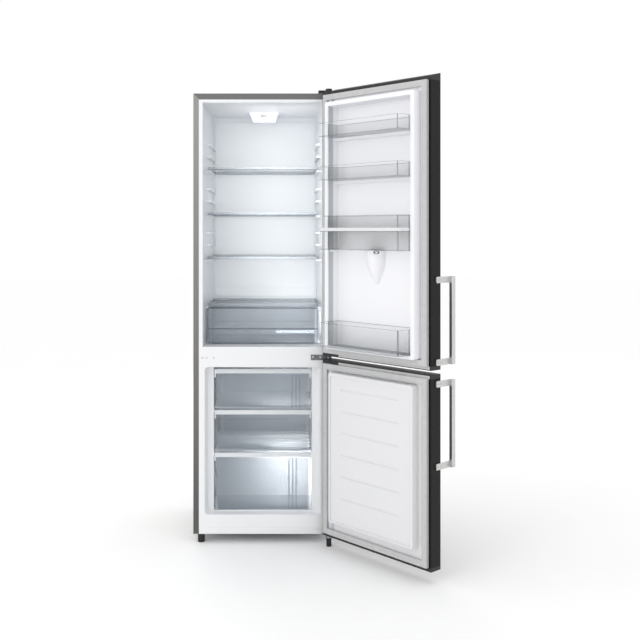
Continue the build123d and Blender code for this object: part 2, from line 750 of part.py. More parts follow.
plate_top = cabinet_top + hinge_plate
cover_left = half - cover_inset
top_bracket = block((cover_left + 8, half - 4), (depth(4), depth(52)), (cabinet_top, plate_top))
top_bracket += arm(cabinet_top, plate_top, depth(5), arm_half)
top_bracket += upright(hinge_x, hinge_y, upper_door_top - pin_reach, cabinet_top, pin_radius)
for inset, back in top_screws:
    x, y = half - inset, depth(back)
    hole = upright(x, y, cabinet_top - screw_reach, plate_top + 1, screw_radius)
    top_bracket -= hole
    parts["cabinet_wrapper"] -= hole
    foam -= hole
    screws.append(upright(x, y, cabinet_top - screw_reach, plate_top, screw_radius)
                  + upright(x, y, plate_top, plate_top + screw_head, screw_head_radius))
parts["top_hinge_bracket"] = top_bracket

cover_z = cabinet_top + cover_height
cover_half = arm_half + cover_wall
cover = block((cover_left, half), (depth(1), depth(58)), (cabinet_top, cover_z))
cover = fillet(cover.edges().filter_by(Axis.Z), 5)
cover += block((hinge_x - cover_half, half), (hinge_y, depth(10)), (cabinet_top + fit, cover_z))
cover += upright(hinge_x, hinge_y, cabinet_top + fit, cover_z, cover_half)
cover = fillet(cover.faces().sort_by(Axis.Z)[-1].edges(), 2)
room = (cabinet_top - 1, cover_z - cover_wall)
cover -= block((cover_left + cover_wall, half - cover_wall), (depth(3), depth(56)), room)
cover -= block((hinge_x - arm_half - fit / 3, half - cover_wall), (hinge_y, depth(10)), room)
cover -= upright(hinge_x, hinge_y, *room, arm_half + fit / 3)
parts["top_hinge_cover"] = cover

plugs = []
for x in plug_xs:
    plugs.append(bar_y(x, (front - 1, front), plug_z, plug_radius)
                 + bar_y(x, (front, front + 6), plug_z, plug_hole))
    foam -= bar_y(x, (front, beam_back), plug_z, plug_hole)
parts["beam_plugs"] = group(plugs)
parts["base_plate"] = base_plate
parts["hinge_screws"] = group(screws)
parts["cabinet_foam"] = foam

spacers = []
for side in (-1, 1):
    for z in (bay_top + spacer_lift, cabinet_top - spacer_drop):
        spacer = block(about(side * (half - spacer_inset), spacer_size / 2), (rear, rear + spacer_reach),
                       about(z, spacer_size / 2))
        spacers.append(fillet(spacer.edges().group_by(Axis.Y)[-1], 2))
parts["wall_spacers"] = group(spacers)

# ------------------------------------------------------------------ lamp and thermostat
lamp_front = depth(slope_depth)
lamp_back = lamp_front + lamp_depth
lamp_low = ceiling_z - lamp_height
outline_points = ((-lamp_top_half, ceiling_z), (lamp_top_half, ceiling_z), (lamp_bottom_half, lamp_low),
                  (-lamp_bottom_half, lamp_low))
lamp_plane = Plane(origin=(0, lamp_back, 0), x_dir=(1, 0, 0), z_dir=(0, -1, 0))
lamp = extrude(lamp_plane * make_face(Polyline(*outline_points, close=True)), lamp_depth)
lens_room = block(both(lamp_top_half), (lamp_front, lamp_back - lens_back), (lamp_low, lamp_low + lens_height))
parts["lamp_lens"] = lamp & lens_room
lamp -= lens_room
dial_z = lamp_low + lens_height + dial_lift
dial_y = lamp_front + dial_radius - dial_proud
dial_room = (dial_z - fit, dial_z + dial_thick + fit)
lamp -= upright(0, dial_y, *dial_room, dial_radius + 0.6)
dial = upright(0, dial_y, dial_z, dial_z + dial_thick, dial_radius)
dial -= upright(0, dial_y, 0, dial_z + dial_thick + 1, spindle_radius + pin_fit)
knurl = upright(dial_radius, 0, dial_z - 1, dial_z + dial_thick + 1, 0.9)
for index in range(dial_ribs):
    dial -= Pos(0, dial_y, 0) * Rot(0, 0, 360 / dial_ribs * (index + 0.5)) * knurl
parts["lamp_housing"] = lamp + upright(0, dial_y, *dial_room, spindle_radius)
parts["thermostat_dial"] = dial


# ------------------------------------------------------------------ shelves and crisper
def shelf(top):
    """Glass plate with a moulded trim along its front and back edges and a runner under each side."""
    y0, y1 = depth(shelf_front), depth(fridge_depth - shelf_back_gap)
    low = top - trim_height + fit
    glass_z = (top - glass_thick - glass_sink, top - glass_sink)
    glass = block(both(shelf_half - 1), (y0 + 3, y1 - 3), glass_z)
    trims = []
    for trim_y in ((y0, y0 + trim_depth), (y1 - trim_depth, y1)):
        trim = block(both(shelf_half), trim_y, (low, top))
        trims.append(fillet(trim.edges().filter_by(Axis.X).group_by(Axis.Z)[-1], 1.2) - glass)
    for side in (-1, 1):
        x = sorted((side * (shelf_half - 9), side * (shelf_half - 1)))
        trims.append(block(x, (y0 + trim_depth, y1 - trim_depth), (low, glass_z[0])))
    return group([glass, *trims])


for name, top in shelf_levels.items():
    parts[name] = shelf(top)
parts["crisper_cover"] = shelf(cover_top)


def open_box(half_width, y, z, wall, draft):
    """Thin tray, open at the top, whose sides close in by the draft at the bottom."""
    def layer(at, inset):
        centre = (y[0] + y[1]) / 2
        return Pos(0, centre, at) * Rectangle(2 * (half_width - inset), y[1] - y[0] - 2 * inset)
    outer = loft([layer(z[0], draft), layer(z[1], 0)], ruled=True)
    inner = loft([layer(z[0] + wall, draft + wall), layer(z[1] + 1, wall)], ruled=True)
    return outer - inner


crisper_z = (fridge_floor + fit, cover_top - trim_height - 3)
crisper_y = (depth(crisper_front), depth(fridge_depth - crisper_back_gap))
face_y = crisper_y[0] - crisper_face
crisper = open_box(crisper_half, crisper_y, crisper_z, crisper_wall, crisper_draft)
crisper += block(both(crisper_face_half), (face_y, crisper_y[0]), (crisper_z[0] + 3, crisper_z[1]))
crisper += block(both(crisper_face_half), (face_y, crisper_y[0] + 14), (crisper_z[1] - 3, crisper_z[1]))
line_z = fridge_floor + crisper_line
crisper -= block(both(crisper_face_half + 1), (face_y - 1, face_y + 1), (line_z, line_z + 2.5))
parts["crisper_drawer"] = crisper


# ------------------------------------------------------------------ freezer drawers
def freezer_drawer(name, seat, back):
    """Clear drawer with a taller front, a bright rim and moulded ribs on the right of the front."""
    low, high = front_levels[name]
    y0 = depth(drawer_front)
    tub_high = high - rim_drop
    drawer = open_box(drawer_half, (y0, back), (seat + fit, tub_high), drawer_wall, drawer_draft)
    drawer += block(both(drawer_half + 2), (y0, y0 + drawer_wall), (low, high))
    drawer += block(both(rim_half), (y0 - 3, y0 + 12), (high - rim_height, high))
    drawer -= block(both(rim_half - 3), (y0 + drawer_wall, y0 + 13), (high - rim_height - 1, high - 3))
    for side in (-1, 1):
        x = sorted((side * (rim_half - 5), side * rim_half))
        drawer += block(x, (y0, y0 + 10), (high - rim_height - rim_ear, high - rim_height))
        x = sorted((side * (drawer_half - drawer_wall), side * (rim_half - 1)))
        drawer += block(x, (y0 + 10, back), (tub_high - 3, tub_high))
    for inset in rib_insets:
        x = drawer_half - inset
        drawer += block((x, x + rib_width), (y0 - rib_proud, y0), (low + 6, high - rim_height))
    return drawer


long_back = depth(fridge_depth - drawer_back_gap)
parts["freezer_drawer_top"] = freezer_drawer("freezer_drawer_top", upper_tube + 2 * tube_radius, long_back)
middle_drawer = freezer_drawer("freezer_drawer_middle", lower_tube + 2 * tube_radius, long_back)
face_back = depth(drawer_front)
grip_low = front_levels["freezer_drawer_middle"][1] - grip_drop
grip_z = (grip_low, grip_low + grip_height)
grip = block((4 - drawer_half, drawer_half - grip_inset), (face_back - 12, face_back + 28), grip_z)
grip = fillet(grip.edges().filter_by(Axis.Y).sort_by(Axis.X)[-2:], grip_radius)
middle_drawer += grip & block(both(drawer_half), (face_back - 2, face_back + grip_depth), (0, cabinet_top))
middle_drawer -= grip & block(both(drawer_half - 6), (face_back - 22, face_back + grip_depth - drawer_wall),
                              (grip_z[0] + drawer_wall, grip_z[1] - drawer_wall))
parts["freezer_drawer_middle"] = middle_drawer
parts["freezer_drawer_bottom"] = freezer_drawer("freezer_drawer_bottom", cold_bottom, low_back - 6)


# ------------------------------------------------------------------ doors
def outline(low, high, shrink=0.0, back_shrink=0.0):
    """Door-shaped prism with its two front corners rounded, drawn shut."""
    prism = block(both(half - shrink), (door_front + shrink, door_inner - back_shrink), (low, high))
    corners = prism.edges().filter_by(Axis.Z).group_by(Axis.Y)[0]
    return fillet(corners, door_corner - shrink)


def gasket(low, high):
    """Four mitred strips with a narrow bellows waist."""
    outer_half = half - gasket_inset
    z0, z1 = low + gasket_inset, high - gasket_inset
    reach = door_gap - gasket_clear
    layers = ((0.0, reach * 0.35, 0.0), (reach * 0.35, reach * 0.65, 4.0), (reach * 0.65, reach, 1.5))
    ring = None
    for p0, p1, tuck in layers:
        y = (inward(p0), inward(p1))
        layer = block(both(outer_half - tuck), y, (z0 + tuck, z1 - tuck))
        inner = gasket_width - tuck
        layer -= block(both(outer_half - inner), (y[0] - 1, y[1] + 1), (z0 + inner, z1 - inner))
        ring = layer if ring is None else ring + layer
    corner = Plane(origin=(0, inward(reach + 1), 0), x_dir=(1, 0, 0), z_dir=(0, -1, 0))
    strips = []
    for side in (-1, 1):
        far, near = side * (outer_half + 1), side * (outer_half - gasket_width - 1)
        wedge = make_face(Polyline((far, z0 - 1), (far, z1 + 1), (near, z1 - (gasket_width + 1)),
                                   (near, z0 + gasket_width + 1), close=True))
        wedge = extrude(corner * wedge, reach + 2)
        strips.append(ring & wedge)
        ring -= wedge
    strips += list(ring.solids())
    return group(strips)


def handle(low):
    """Bar and two flat plates that screw to the door's free end face."""
    high = low + handle_length
    y_out = door_front - bar_reach
    bar = block(about(-half - handle_off, bar_width / 2), (y_out, y_out + bar_depth), (low, high))
    pieces = [fillet(bar.edges().filter_by(Axis.Z), 3)]
    for z in ((low, low + handle_plate_height), (high - handle_plate_height, high)):
        plate = block((-half - handle_plate, -half), (y_out + bar_depth, door_front + handle_behind), z)
        for back in handle_screws:
            socket = (-half - handle_plate - 1, -half - handle_plate + 1.5)
            plate -= bar_x(socket, door_front + back, sum(z) / 2, handle_screw_radius)
        pieces.append(plate)
    return group(pieces)


def cap(low, upper, crest=0.0):
    """Moulded end cap, hollow towards the foam, with a bush for the hinge pin."""
    high = low + cap_height
    body = outline(low, high)
    if upper:
        body -= outline(low - 1, high - cap_wall, cap_wall, cap_wall)
        mouth = (high - pin_reach - 1, high + 1)
    else:
        body -= outline(low + cap_wall, high + 1, cap_wall, cap_wall)
        mouth = (low - 1, low + pin_reach + 1)
    if crest:
        edge = Plane(origin=(-half, 0, 0), x_dir=(0, 1, 0), z_dir=(1, 0, 0))
        slope = make_face(Polyline((door_inner, high - 0.5), (door_inner, high), (door_front + 5, high + crest),
                                   (door_front, high + crest - 4), (door_front, high - 0.5), close=True))
        body += extrude(edge * slope, cabinet_width - cap_notch) & outline(high - 1, high + crest + 1)
    boss = upright(hinge_x, hinge_y, low, high, pin_radius + bush_wall)
    return (body + boss) - upright(hinge_x, hinge_y, *mouth, pin_radius + pin_fit)


def door_skin(low, high):
    """Folded steel sheet: front, two end faces and narrow returns."""
    z0, z1 = low + cap_height, high - cap_height
    skin = outline(z0, z1) - outline(z0 - 1, z1 + 1, sheet, sheet)
    return skin - block(both(half - door_return), about(door_inner, 1), (z0 - 1, z1 + 1))


def door_core(low, high):
    """Space inside the skin, the caps and behind the liner plate."""
    z0, z1 = low + cap_height, high - cap_height
    core = outline(z0, z1, sheet, sheet) + outline(low + cap_wall, z0, cap_wall, cap_wall)
    core += outline(z1, high - cap_wall, cap_wall, cap_wall)
    core -= block(both(half - door_return), (inward(-liner_wall), door_inner + 1), (z0, z1))
    for z in (low, high - cap_height):
        core -= upright(hinge_x, hinge_y, z - 1, z + cap_height + 1, pin_radius + bush_wall + pin_fit)
    return core


def liner_plate(low, high):
    """Flat rim of the inner liner, between the caps and the steel returns."""
    z = (low + cap_height, high - cap_height)
    return block(both(half - door_return), (inward(-liner_wall), door_inner), z)


# upper door
low, high = upper_door_bottom, upper_door_top
dyke = hollow(((inward(0), dyke_half + dyke_draft, dyke_bottom, dyke_top + dyke_draft, dyke_radius),
               (inward(dyke_rise), dyke_half, dyke_bottom, dyke_top, dyke_radius)))
core_radius = dyke_radius - liner_wall
dyke_core = hollow(((inward(-liner_wall), dyke_half + dyke_draft - liner_wall, dyke_bottom + liner_wall,
                     dyke_top + dyke_draft - liner_wall, core_radius),
                    (inward(dyke_rise - liner_wall), dyke_half - liner_wall, dyke_bottom + liner_wall,
                     dyke_top - liner_wall, core_radius)))
floor_y = inward(-recess_depth)
floor_half, floor_high = recess_half - dyke_draft, recess_high - dyke_draft
recess = hollow(((floor_y, floor_half, recess_low, floor_high, recess_radius),
                 (inward(dyke_rise), recess_half, recess_low, recess_high, recess_radius)))
shell_radius = recess_radius + liner_wall
recess_shell = loft([section(floor_y - liner_wall, floor_half + liner_wall, recess_low - liner_wall,
                             floor_high + liner_wall, shell_radius),
                     section(inward(dyke_rise), recess_half + liner_wall, recess_low - liner_wall,
                             recess_high + liner_wall, shell_radius)], ruled=True)
proud = block(both(recess_half), (floor_y, inward(60)), (0, cabinet_top))


def bulge(grow):
    """Tapered bulge over the dispenser valve, about the recess floor."""
    middle = Pos(0, floor_y, (bulge_low + bulge_high) / 2)
    return middle * Cone(bulge_tip + grow, bulge_radius + grow, bulge_height + 2 * grow)


valve_y = inward(-valve_sink)
upper_liner = (liner_plate(low, high) + dyke + recess_shell) - recess - (dyke_core - recess_shell)
upper_liner += bulge(0) & proud
for bin_low, _ in bin_levels.values():
    ledge = block(both(recess_half + 1), (floor_y - 1, inward(4)), (bin_low - bin_ledge, bin_low - fit))
    upper_liner += ledge & recess_shell
for side in (-1, 1):
    x = sorted((side * (recess_half - 8), side * (recess_half + 1)))
    lug = block(x, (floor_y - 1, inward(24)), (tank_bottom - 10, tank_bottom - fit))
    upper_liner += lug & recess_shell
upper_liner -= bulge(-liner_wall) & block(both(recess_half), (floor_y - 9, inward(60)), (0, cabinet_top))
upper_liner -= upright(0, valve_y, bulge_high - 5, bulge_high + 1, neck_radius + neck_gap)
parts["upper_door_liner"] = upper_liner

niche_back = door_front + niche_depth
niche = block(both(niche_half), (door_front, niche_back), (niche_bottom, niche_top))
niche = fillet(niche.edges().filter_by(Axis.Y), niche_radius)
mouth_half = niche_half - housing_wall
mouth_z = (niche_bottom + housing_wall, niche_top - housing_wall)
bezel = block(both(niche_half + bezel_width), (door_front - bezel_thick, door_front),
              (niche_bottom - bezel_width, niche_top + bezel_width))
housing = niche + fillet(bezel.edges().filter_by(Axis.Y), niche_radius + 4)
housing -= block(both(mouth_half), (door_front - 5, niche_back - housing_wall), mouth_z)
chute_low = bulge_low + chute_lift
chute_high = chute_low + chute_height
chute_end = valve_y - 6
chute_z = (chute_low + chute_wall, chute_high - chute_wall)
housing += block(both(chute_half), (niche_back, chute_end), (chute_low, chute_high))
housing -= block(both(chute_half - chute_wall), (niche_back - 5, chute_end + 1), chute_z)
guide_z = (chute_high + 6, chute_high + 10)
guide = upright(0, valve_y, *guide_z, 2 * valve_radius) + block(both(valve_radius), (floor_y - 4, valve_y), guide_z)
guide += block(both(valve_radius), (floor_y - 4, floor_y - 1), (chute_high - chute_wall, guide_z[1]))
housing += guide - upright(0, valve_y, 0, cabinet_top, valve_radius + pin_fit)
lever_y, lever_z = door_front + lever_ahead, chute_low + lever_rise
housing += bar_x(both(mouth_half), lever_y, lever_z, lever_pin_radius)
arm_top = chute_low + lever_rise + 2
housing -= block(both(5), (niche_back - 1, chute_end + 2), (arm_top - 6, arm_top + 4))
parts["dispenser_housing"] = housing

lever = bar_x(both(9), lever_y, lever_z, lever_hub_radius)
lever += block(both(18), (lever_y - 2, lever_y + 1), (niche_bottom + 50, lever_z - 3))
lever += block(both(9), (lever_y - 2, lever_y + 1), (lever_z - 12, lever_z))
lever += block(both(4), (lever_y, valve_y + 3), (arm_top - 3, arm_top))
parts["dispenser_lever"] = lever - bar_x(both(20), lever_y, lever_z, lever_pin_radius + pin_fit)
valve_high = bulge_high - 18
parts["dispenser_valve"] = (upright(0, valve_y, arm_top + fit, valve_high, valve_radius)
                            + upright(0, valve_y, valve_high - 3, valve_high, valve_head_radius))

parts["upper_door_skin"] = door_skin(low, high) - niche
parts["upper_door_caps"] = group([cap(low, False), cap(high - cap_height, True, cap_crest)])
core = (door_core(low, high) + dyke_core) - recess_shell - niche - bulge(2)
core -= block(both(chute_half + 1), (door_front, floor_y), (chute_low - 1, bulge_high))
parts["upper_door_foam"] = core
parts["upper_door_gasket"] = gasket(low, high)
parts["upper_door_handle"] = handle(low + upper_handle_lift)


def door_bin(low, high, reach, corner_size):
    """Clear bin between the dykes, chamfered towards the room."""
    half_width = floor_half - bin_gap
    y = (floor_y + 1, inward(reach))
    outer = block(both(half_width), y, (low, high))
    inner = block(both(half_width - bin_wall), (y[0] + bin_wall, y[1] - bin_wall), (low + bin_wall, high + 1))
    corners = [box.edges().filter_by(Axis.Z).group_by(Axis.Y)[-1] for box in (outer, inner)]
    return chamfer(corners[0], corner_size) - chamfer(corners[1], corner_size)


for name, (bin_low, bin_high) in bin_levels.items():
    parts[name] = door_bin(bin_low, bin_high, bin_reach, bin_corner)
parts["bottle_bin"] = door_bin(bottle_bin_low, bottle_bin_low + bottle_bin_height, bottle_bin_reach,
                               bottle_bin_corner)

tank = door_bin(tank_bottom, tank_top, bin_reach - 2, tank_corner)
tank += upright(0, valve_y, bulge_high - 6, tank_bottom + 1, neck_radius)
parts["water_tank"] = tank - upright(0, valve_y, 0, tank_top, neck_radius - neck_wall)
lid = door_bin(tank_top, guard_top, bin_reach, tank_corner)
lid += block(both(recess_half - 4), (inward(bin_reach), inward(bin_reach) + lid_band), (tank_top, lid_top))
lid_floor = tank_top + bin_wall
flap_y = (inward(8), inward(8) + flap_length)
flap_pin_y, flap_pin_z = flap_y[0] - 1.5, lid_floor + flap_pin_lift
lid -= block(flap_x, flap_y, (tank_top - 1, lid_floor + 1))
flap = block((flap_x[0] + flap_gap, flap_x[1] - flap_gap), (flap_y[0] + flap_gap, flap_y[1] - flap_gap),
             (tank_top + fit, lid_floor))
strap_x = (flap_x[0] + 12, flap_x[1] - 12)
strap = block(strap_x, (flap_pin_y, flap_y[0] + 4), (lid_floor, flap_pin_z))
strap -= block(both(recess_half), (flap_pin_y - 5, flap_y[0]), (tank_top, lid_floor + fit))
flap += strap + bar_x(strap_x, flap_pin_y, flap_pin_z, 2 * flap_pin)
parts["tank_flap"] = flap - bar_x(both(recess_half), flap_pin_y, flap_pin_z, flap_pin + pin_fit)
lid += bar_x((flap_x[0] + 4, flap_x[1] - 4), flap_pin_y, flap_pin_z, flap_pin)
for x in (flap_x[0] + 4, flap_x[1] - 8):
    lid += block((x, x + 4), (flap_pin_y - 1.5, flap_pin_y + 1.4), (lid_floor, flap_pin_z + 1.5))
parts["tank_lid"] = lid

# lower door
low, high = lower_door_bottom, lower_door_top
panel_rise = plateau_rise - plateau_sink
panel_y = inward(panel_rise)
plateau = hollow(((inward(0), plateau_half + plateau_draft, plateau_bottom - plateau_draft,
                   plateau_top + plateau_draft, plateau_radius),
                  (inward(plateau_rise), plateau_half, plateau_bottom, plateau_top, plateau_radius)))
core_half, core_radius = plateau_half - liner_wall, plateau_radius - liner_wall
core_z = (plateau_bottom + liner_wall, plateau_top - liner_wall)
plateau_core = hollow(((inward(-liner_wall), core_half + plateau_draft, core_z[0] - plateau_draft,
                        core_z[1] + plateau_draft, core_radius),
                       (panel_y - liner_wall, core_half, *core_z, core_radius)))
sunk = block(both(plateau_half - plateau_rim), (panel_y, inward(plateau_rise + 1)),
             (plateau_bottom + plateau_sill, plateau_top - plateau_rim))
sunk = fillet(sunk.edges().filter_by(Axis.Y), 8)
lower_liner = (liner_plate(low, high) + plateau) - sunk - plateau_core
core = door_core(low, high) + plateau_core
groove_half = plateau_half - groove_inset
level = plateau_bottom + groove_first
while level < plateau_top - groove_margin:
    groove = block(both(groove_half), (panel_y - groove_depth, panel_y + 1), about(level, groove_width / 2))
    backing = block(both(groove_half + liner_wall), (panel_y - groove_depth - liner_wall, panel_y - liner_wall),
                    about(level, groove_width))
    lower_liner = (lower_liner + backing) - groove
    core -= backing
    level += groove_pitch
parts["lower_door_liner"] = lower_liner
parts["lower_door_skin"] = door_skin(low, high)
parts["lower_door_caps"] = group([cap(low, False), cap(high - cap_height, True)])
parts["lower_door_foam"] = core
parts["lower_door_gasket"] = gasket(low, high)
parts["lower_door_handle"] = handle(high - lower_handle_drop - handle_length)

# ------------------------------------------------------------------ swing the doors and write
for name in list(parts):
    if name.startswith(("upper_door", "lower_door", "door_bin", "bottle", "water", "tank", "dispenser")):
        parts[name] = swung(parts[name])

os.makedirs("parts", exist_ok=True)
for name, shape in parts.items():
    export_step(shape, f"parts/{name}.step")
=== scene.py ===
# %% [markdown]
# # Dressing a bottom-freezer refrigerator
# The CAD model gives every solid its place and size. This lesson loads it as a fixed frame,
# sets the camera, gives each part the finish of the real one, and then models by hand the
# pieces whose detail is too fine for the CAD: door seals, handle bars, shelf panes, drawers,
# door bins, screws, feet and rollers.

# %% Load the frame
import math
import bmesh
import bpy
from mathutils import Matrix, Vector


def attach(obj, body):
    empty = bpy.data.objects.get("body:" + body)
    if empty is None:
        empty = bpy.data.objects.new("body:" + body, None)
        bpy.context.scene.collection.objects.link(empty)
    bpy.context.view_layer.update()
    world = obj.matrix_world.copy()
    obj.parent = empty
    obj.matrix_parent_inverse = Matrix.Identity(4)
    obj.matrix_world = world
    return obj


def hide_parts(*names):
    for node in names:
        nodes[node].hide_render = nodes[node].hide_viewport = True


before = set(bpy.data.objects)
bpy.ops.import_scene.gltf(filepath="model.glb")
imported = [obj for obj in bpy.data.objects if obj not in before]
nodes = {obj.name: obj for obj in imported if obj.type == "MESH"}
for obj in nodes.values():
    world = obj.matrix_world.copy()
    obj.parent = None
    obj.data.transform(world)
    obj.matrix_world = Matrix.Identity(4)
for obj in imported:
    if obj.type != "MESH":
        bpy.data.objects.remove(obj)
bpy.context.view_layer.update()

# %% [markdown]
# ## Camera
# A long lens at about eye height looks straight along +Y, level, so that upright edges stay
# upright. A product photographer lowers the frame with the lens shift instead of tilting.
# The distance of four metres gives the doors their strong taper.

# %% Camera
lens = bpy.data.cameras.new("studio_camera")
camera = bpy.data.objects.new("studio_camera", lens)
bpy.context.scene.collection.objects.link(camera)
camera.location = (0.0946, -3.979, 1.2422)
camera.rotation_euler = (math.radians(90), 0, 0)
lens.lens, lens.sensor_width = 52.86, 36
lens.shift_x, lens.shift_y = 0.0526, -0.1397
bpy.context.scene.camera = camera
bpy.context.scene.view_settings.view_transform = "Standard"
print("camera at", tuple(camera.location), "lens", lens.lens, "mm")

# %% [markdown]
# ## Studio
# White goods are shot on a white sweep under large soft boxes. A white world gives the even
# fill. A soft box on the left shapes the insides of the two compartments, because their
# left walls then fall into a soft bluish shade, and a weak one on the right fills. Retouchers
# lift the inside of a cabinet with a card of light just within its opening, and here one such
# card does that. It shines to the rear only, so the doors and the frame don't see it. Smaller
# ones stand behind the drawers' fronts, where in a real kitchen light gets in from above. A
# box behind lights the rear panel.

# %% Studio
def deselect():
    """Leaves nothing selected, because operators act on all that is."""
    if bpy.context.object and bpy.context.object.mode != "OBJECT":
        bpy.ops.object.mode_set(mode="OBJECT")
    bpy.ops.object.select_all(action="DESELECT")


def area_light(name, place, turn, watts):
    """Area light with its holder in the scene."""
    light = bpy.data.lights.new(name, "AREA")
    light.energy = watts
    holder = bpy.data.objects.new(name, light)
    holder.location, holder.rotation_euler = place, turn
    bpy.context.scene.collection.objects.link(holder)
    return light, holder


def soft_box(name, place, aim, size, watts):
    """Square studio light that faces the aim point."""
    turn = (Vector(aim) - Vector(place)).to_track_quat("-Z", "Y").to_euler()
    area_light(name, place, turn, watts)[0].size = size


def light_card(name, place, wide, tall, watts):
    """Card of light in an opening, facing the rear, which the camera doesn't see."""
    light, holder = area_light(name, place, (math.radians(90), 0, 0), watts)
    light.shape, light.size, light.size_y = "RECTANGLE", wide, tall
    light.spread = math.radians(130)
    holder.visible_camera = holder.visible_glossy = False


sky = bpy.data.worlds.new("white_sweep")
bpy.context.scene.world = sky
sky.use_nodes = True
sky.node_tree.nodes["Background"].inputs["Color"].default_value = (1, 1, 1, 1)
sky.node_tree.nodes["Background"].inputs["Strength"].default_value = 1.0
soft_box("key_box", (-2.4, -3.4, 2.3), (0.0, 0.1, 0.9), 1.6, 19)
soft_box("fill_box", (2.8, -3.0, 2.2), (0.3, -0.2, 0.9), 1.8, 1.5)
soft_box("back_box", (-1.2, 3.2, 2.4), (0.1, 0.2, 0.8), 1.8, 22)
light_card("fridge_card", (0.05, -0.243, 1.335), 0.32, 0.72, 1.25)
light_card("crisper_card", (0.14, -0.148, 0.87), 0.18, 0.09, 0.5)
light_card("top_drawer_card", (0.09, -0.196, 0.60), 0.16, 0.08, 0.26)
light_card("middle_drawer_card", (0.09, -0.150, 0.43), 0.16, 0.08, 0.09)
light_card("bottom_drawer_card", (0.10, -0.196, 0.26), 0.14, 0.15, 0.75)
deselect()
bpy.ops.mesh.primitive_plane_add(size=40, location=(0, 0, 0))
floor = bpy.context.object
floor.name = "floor"

# %% [markdown]
# ## Helpers for materials
# Colours are written as the sRGB hex values that a paint chart or an eyedropper gives, and
# one function turns them to the linear values that the shader takes. One small function adds
# any node. Every pattern reads Object coordinates, which are metres in this scene, so its
# size can be given in millimetres.

# %% Helpers for materials
mm = 0.001


def linear(code):
    """Linear colour of an sRGB hex value."""
    parts = [int(code[i:i + 2], 16) / 255 for i in (1, 3, 5)]
    return (*(p / 12.92 if p <= 0.04045 else ((p + 0.055) / 1.055) ** 2.4 for p in parts), 1.0)


def add(tree, kind, settings=None, inputs=None):
    """Adds a node, sets its attributes, and sets or links its inputs."""
    item = tree.nodes.new(kind)
    for name, value in (settings or {}).items():
        setattr(item, name, value)
    for key, value in (inputs or {}).items():
        if isinstance(value, bpy.types.NodeSocket):
            tree.links.new(value, item.inputs[key])
        else:
            item.inputs[key].default_value = value
    return item


def material(name, code, **sockets):
    """New material with uniform values on its shader; gives it with its tree, shader and place."""
    made = bpy.data.materials.new(name)
    made.use_nodes = True
    made.diffuse_color = linear(code)
    tree = made.node_tree
    shader = tree.nodes["Principled BSDF"]
    shader.inputs["Base Color"].default_value = linear(code)
    for socket, value in sockets.items():
        shader.inputs[socket.replace("_", " ")].default_value = value
    place = add(tree, "ShaderNodeTexCoord").outputs["Object"]
    return made, tree, shader, place


def maths(tree, operation, first, second=0.0):
    """Result of one arithmetic node."""
    return add(tree, "ShaderNodeMath", {"operation": operation}, {0: first, 1: second}).outputs[0]


def ramp(tree, value, start, end, low=0.0, high=1.0):
    """Runs from low to high while the value goes from start to end."""
    inputs = {"Value": value, "From Min": start, "From Max": end, "To Min": low, "To Max": high}
    return add(tree, "ShaderNodeMapRange", {}, inputs).outputs[0]


def blend(tree, factor, first, second):
    """Colour between two others, each a hex value or a socket."""
    pair = [linear(side) if isinstance(side, str) else side for side in (first, second)]
    inputs = {0: factor, 6: pair[0], 7: pair[1]}
    return add(tree, "ShaderNodeMix", {"data_type": "RGBA"}, inputs).outputs[2]


def grain(tree, place, size, detail=3.0, stretch=(1, 1, 1)):
    """Noise whose lumps are about the given size across, longer where stretch is under one."""
    scale = tuple(s / size for s in stretch)
    scaled = add(tree, "ShaderNodeMapping", {}, {"Vector": place, "Scale": scale})
    inputs = {"Vector": scaled.outputs[0], "Scale": 1.0, "Detail": detail}
    return add(tree, "ShaderNodeTexNoise", {}, inputs).outputs["Fac"]


def tone(tree, shader, factor, dark, light):
    """Colour that goes from dark to light with the pattern."""
    colour = blend(tree, factor, dark, light)
    tree.links.new(colour, shader.inputs["Base Color"])
    return colour


def relief(tree, shader, height, depth):
    """Surface relief of a real depth."""
    bump = add(tree, "ShaderNodeBump", {}, {"Height": height, "Distance": depth, "Strength": 1.0})
    tree.links.new(bump.outputs[0], shader.inputs["Normal"])


def gloss(tree, shader, factor, low, high):
    """Roughness that varies between two values."""
    tree.links.new(ramp(tree, factor, 0.0, 1.0, low, high), shader.inputs["Roughness"])


def band(tree, value, low, high, soft=0.0002):
    """One between two limits, zero outside, with a soft edge."""
    rise = ramp(tree, value, low - soft, low + soft)
    fall = ramp(tree, value, high - soft, high + soft, 1.0, 0.0)
    return maths(tree, "MULTIPLY", rise, fall)


def coat(name, code, colours, rough, depth, sizes, **sockets):
    """Finish from three noises, for colour, gloss and relief, with lengths in millimetres."""
    made, tree, shader, place = material(name, code, **sockets)
    cloud, shine, bumps = (grain(tree, place, size * mm, detail) for size, detail in sizes)
    tone(tree, shader, cloud, *colours)
    gloss(tree, shader, shine, *rough)
    relief(tree, shader, bumps, depth * mm)
    return made


hinge_line = (262 * mm, -278.2 * mm, 0)
open_angle = math.radians(131.3)
directions = {
    "up": (0, 0, 1),
    "along": (-math.cos(open_angle), -math.sin(open_angle), 0),
    "out": (-math.sin(open_angle), math.cos(open_angle), 0),
}


def reach_along(tree, place, way):
    """Distance up, or along or out from the open upper door's hinge line."""
    kind = "ShaderNodeVectorMath"
    moved = add(tree, kind, {"operation": "SUBTRACT"}, {0: place, 1: hinge_line}).outputs[0]
    turned = add(tree, kind, {"operation": "DOT_PRODUCT"}, {0: moved, 1: directions[way]})
    return turned.outputs["Value"]


def dress(finish, *names):
    """Gives CAD nodes their finish."""
    for name in names:
        for slot in nodes[name].material_slots:
            slot.material = finish
        if not nodes[name].material_slots:
            nodes[name].data.materials.append(finish)


print("white is", linear("#ffffff"))

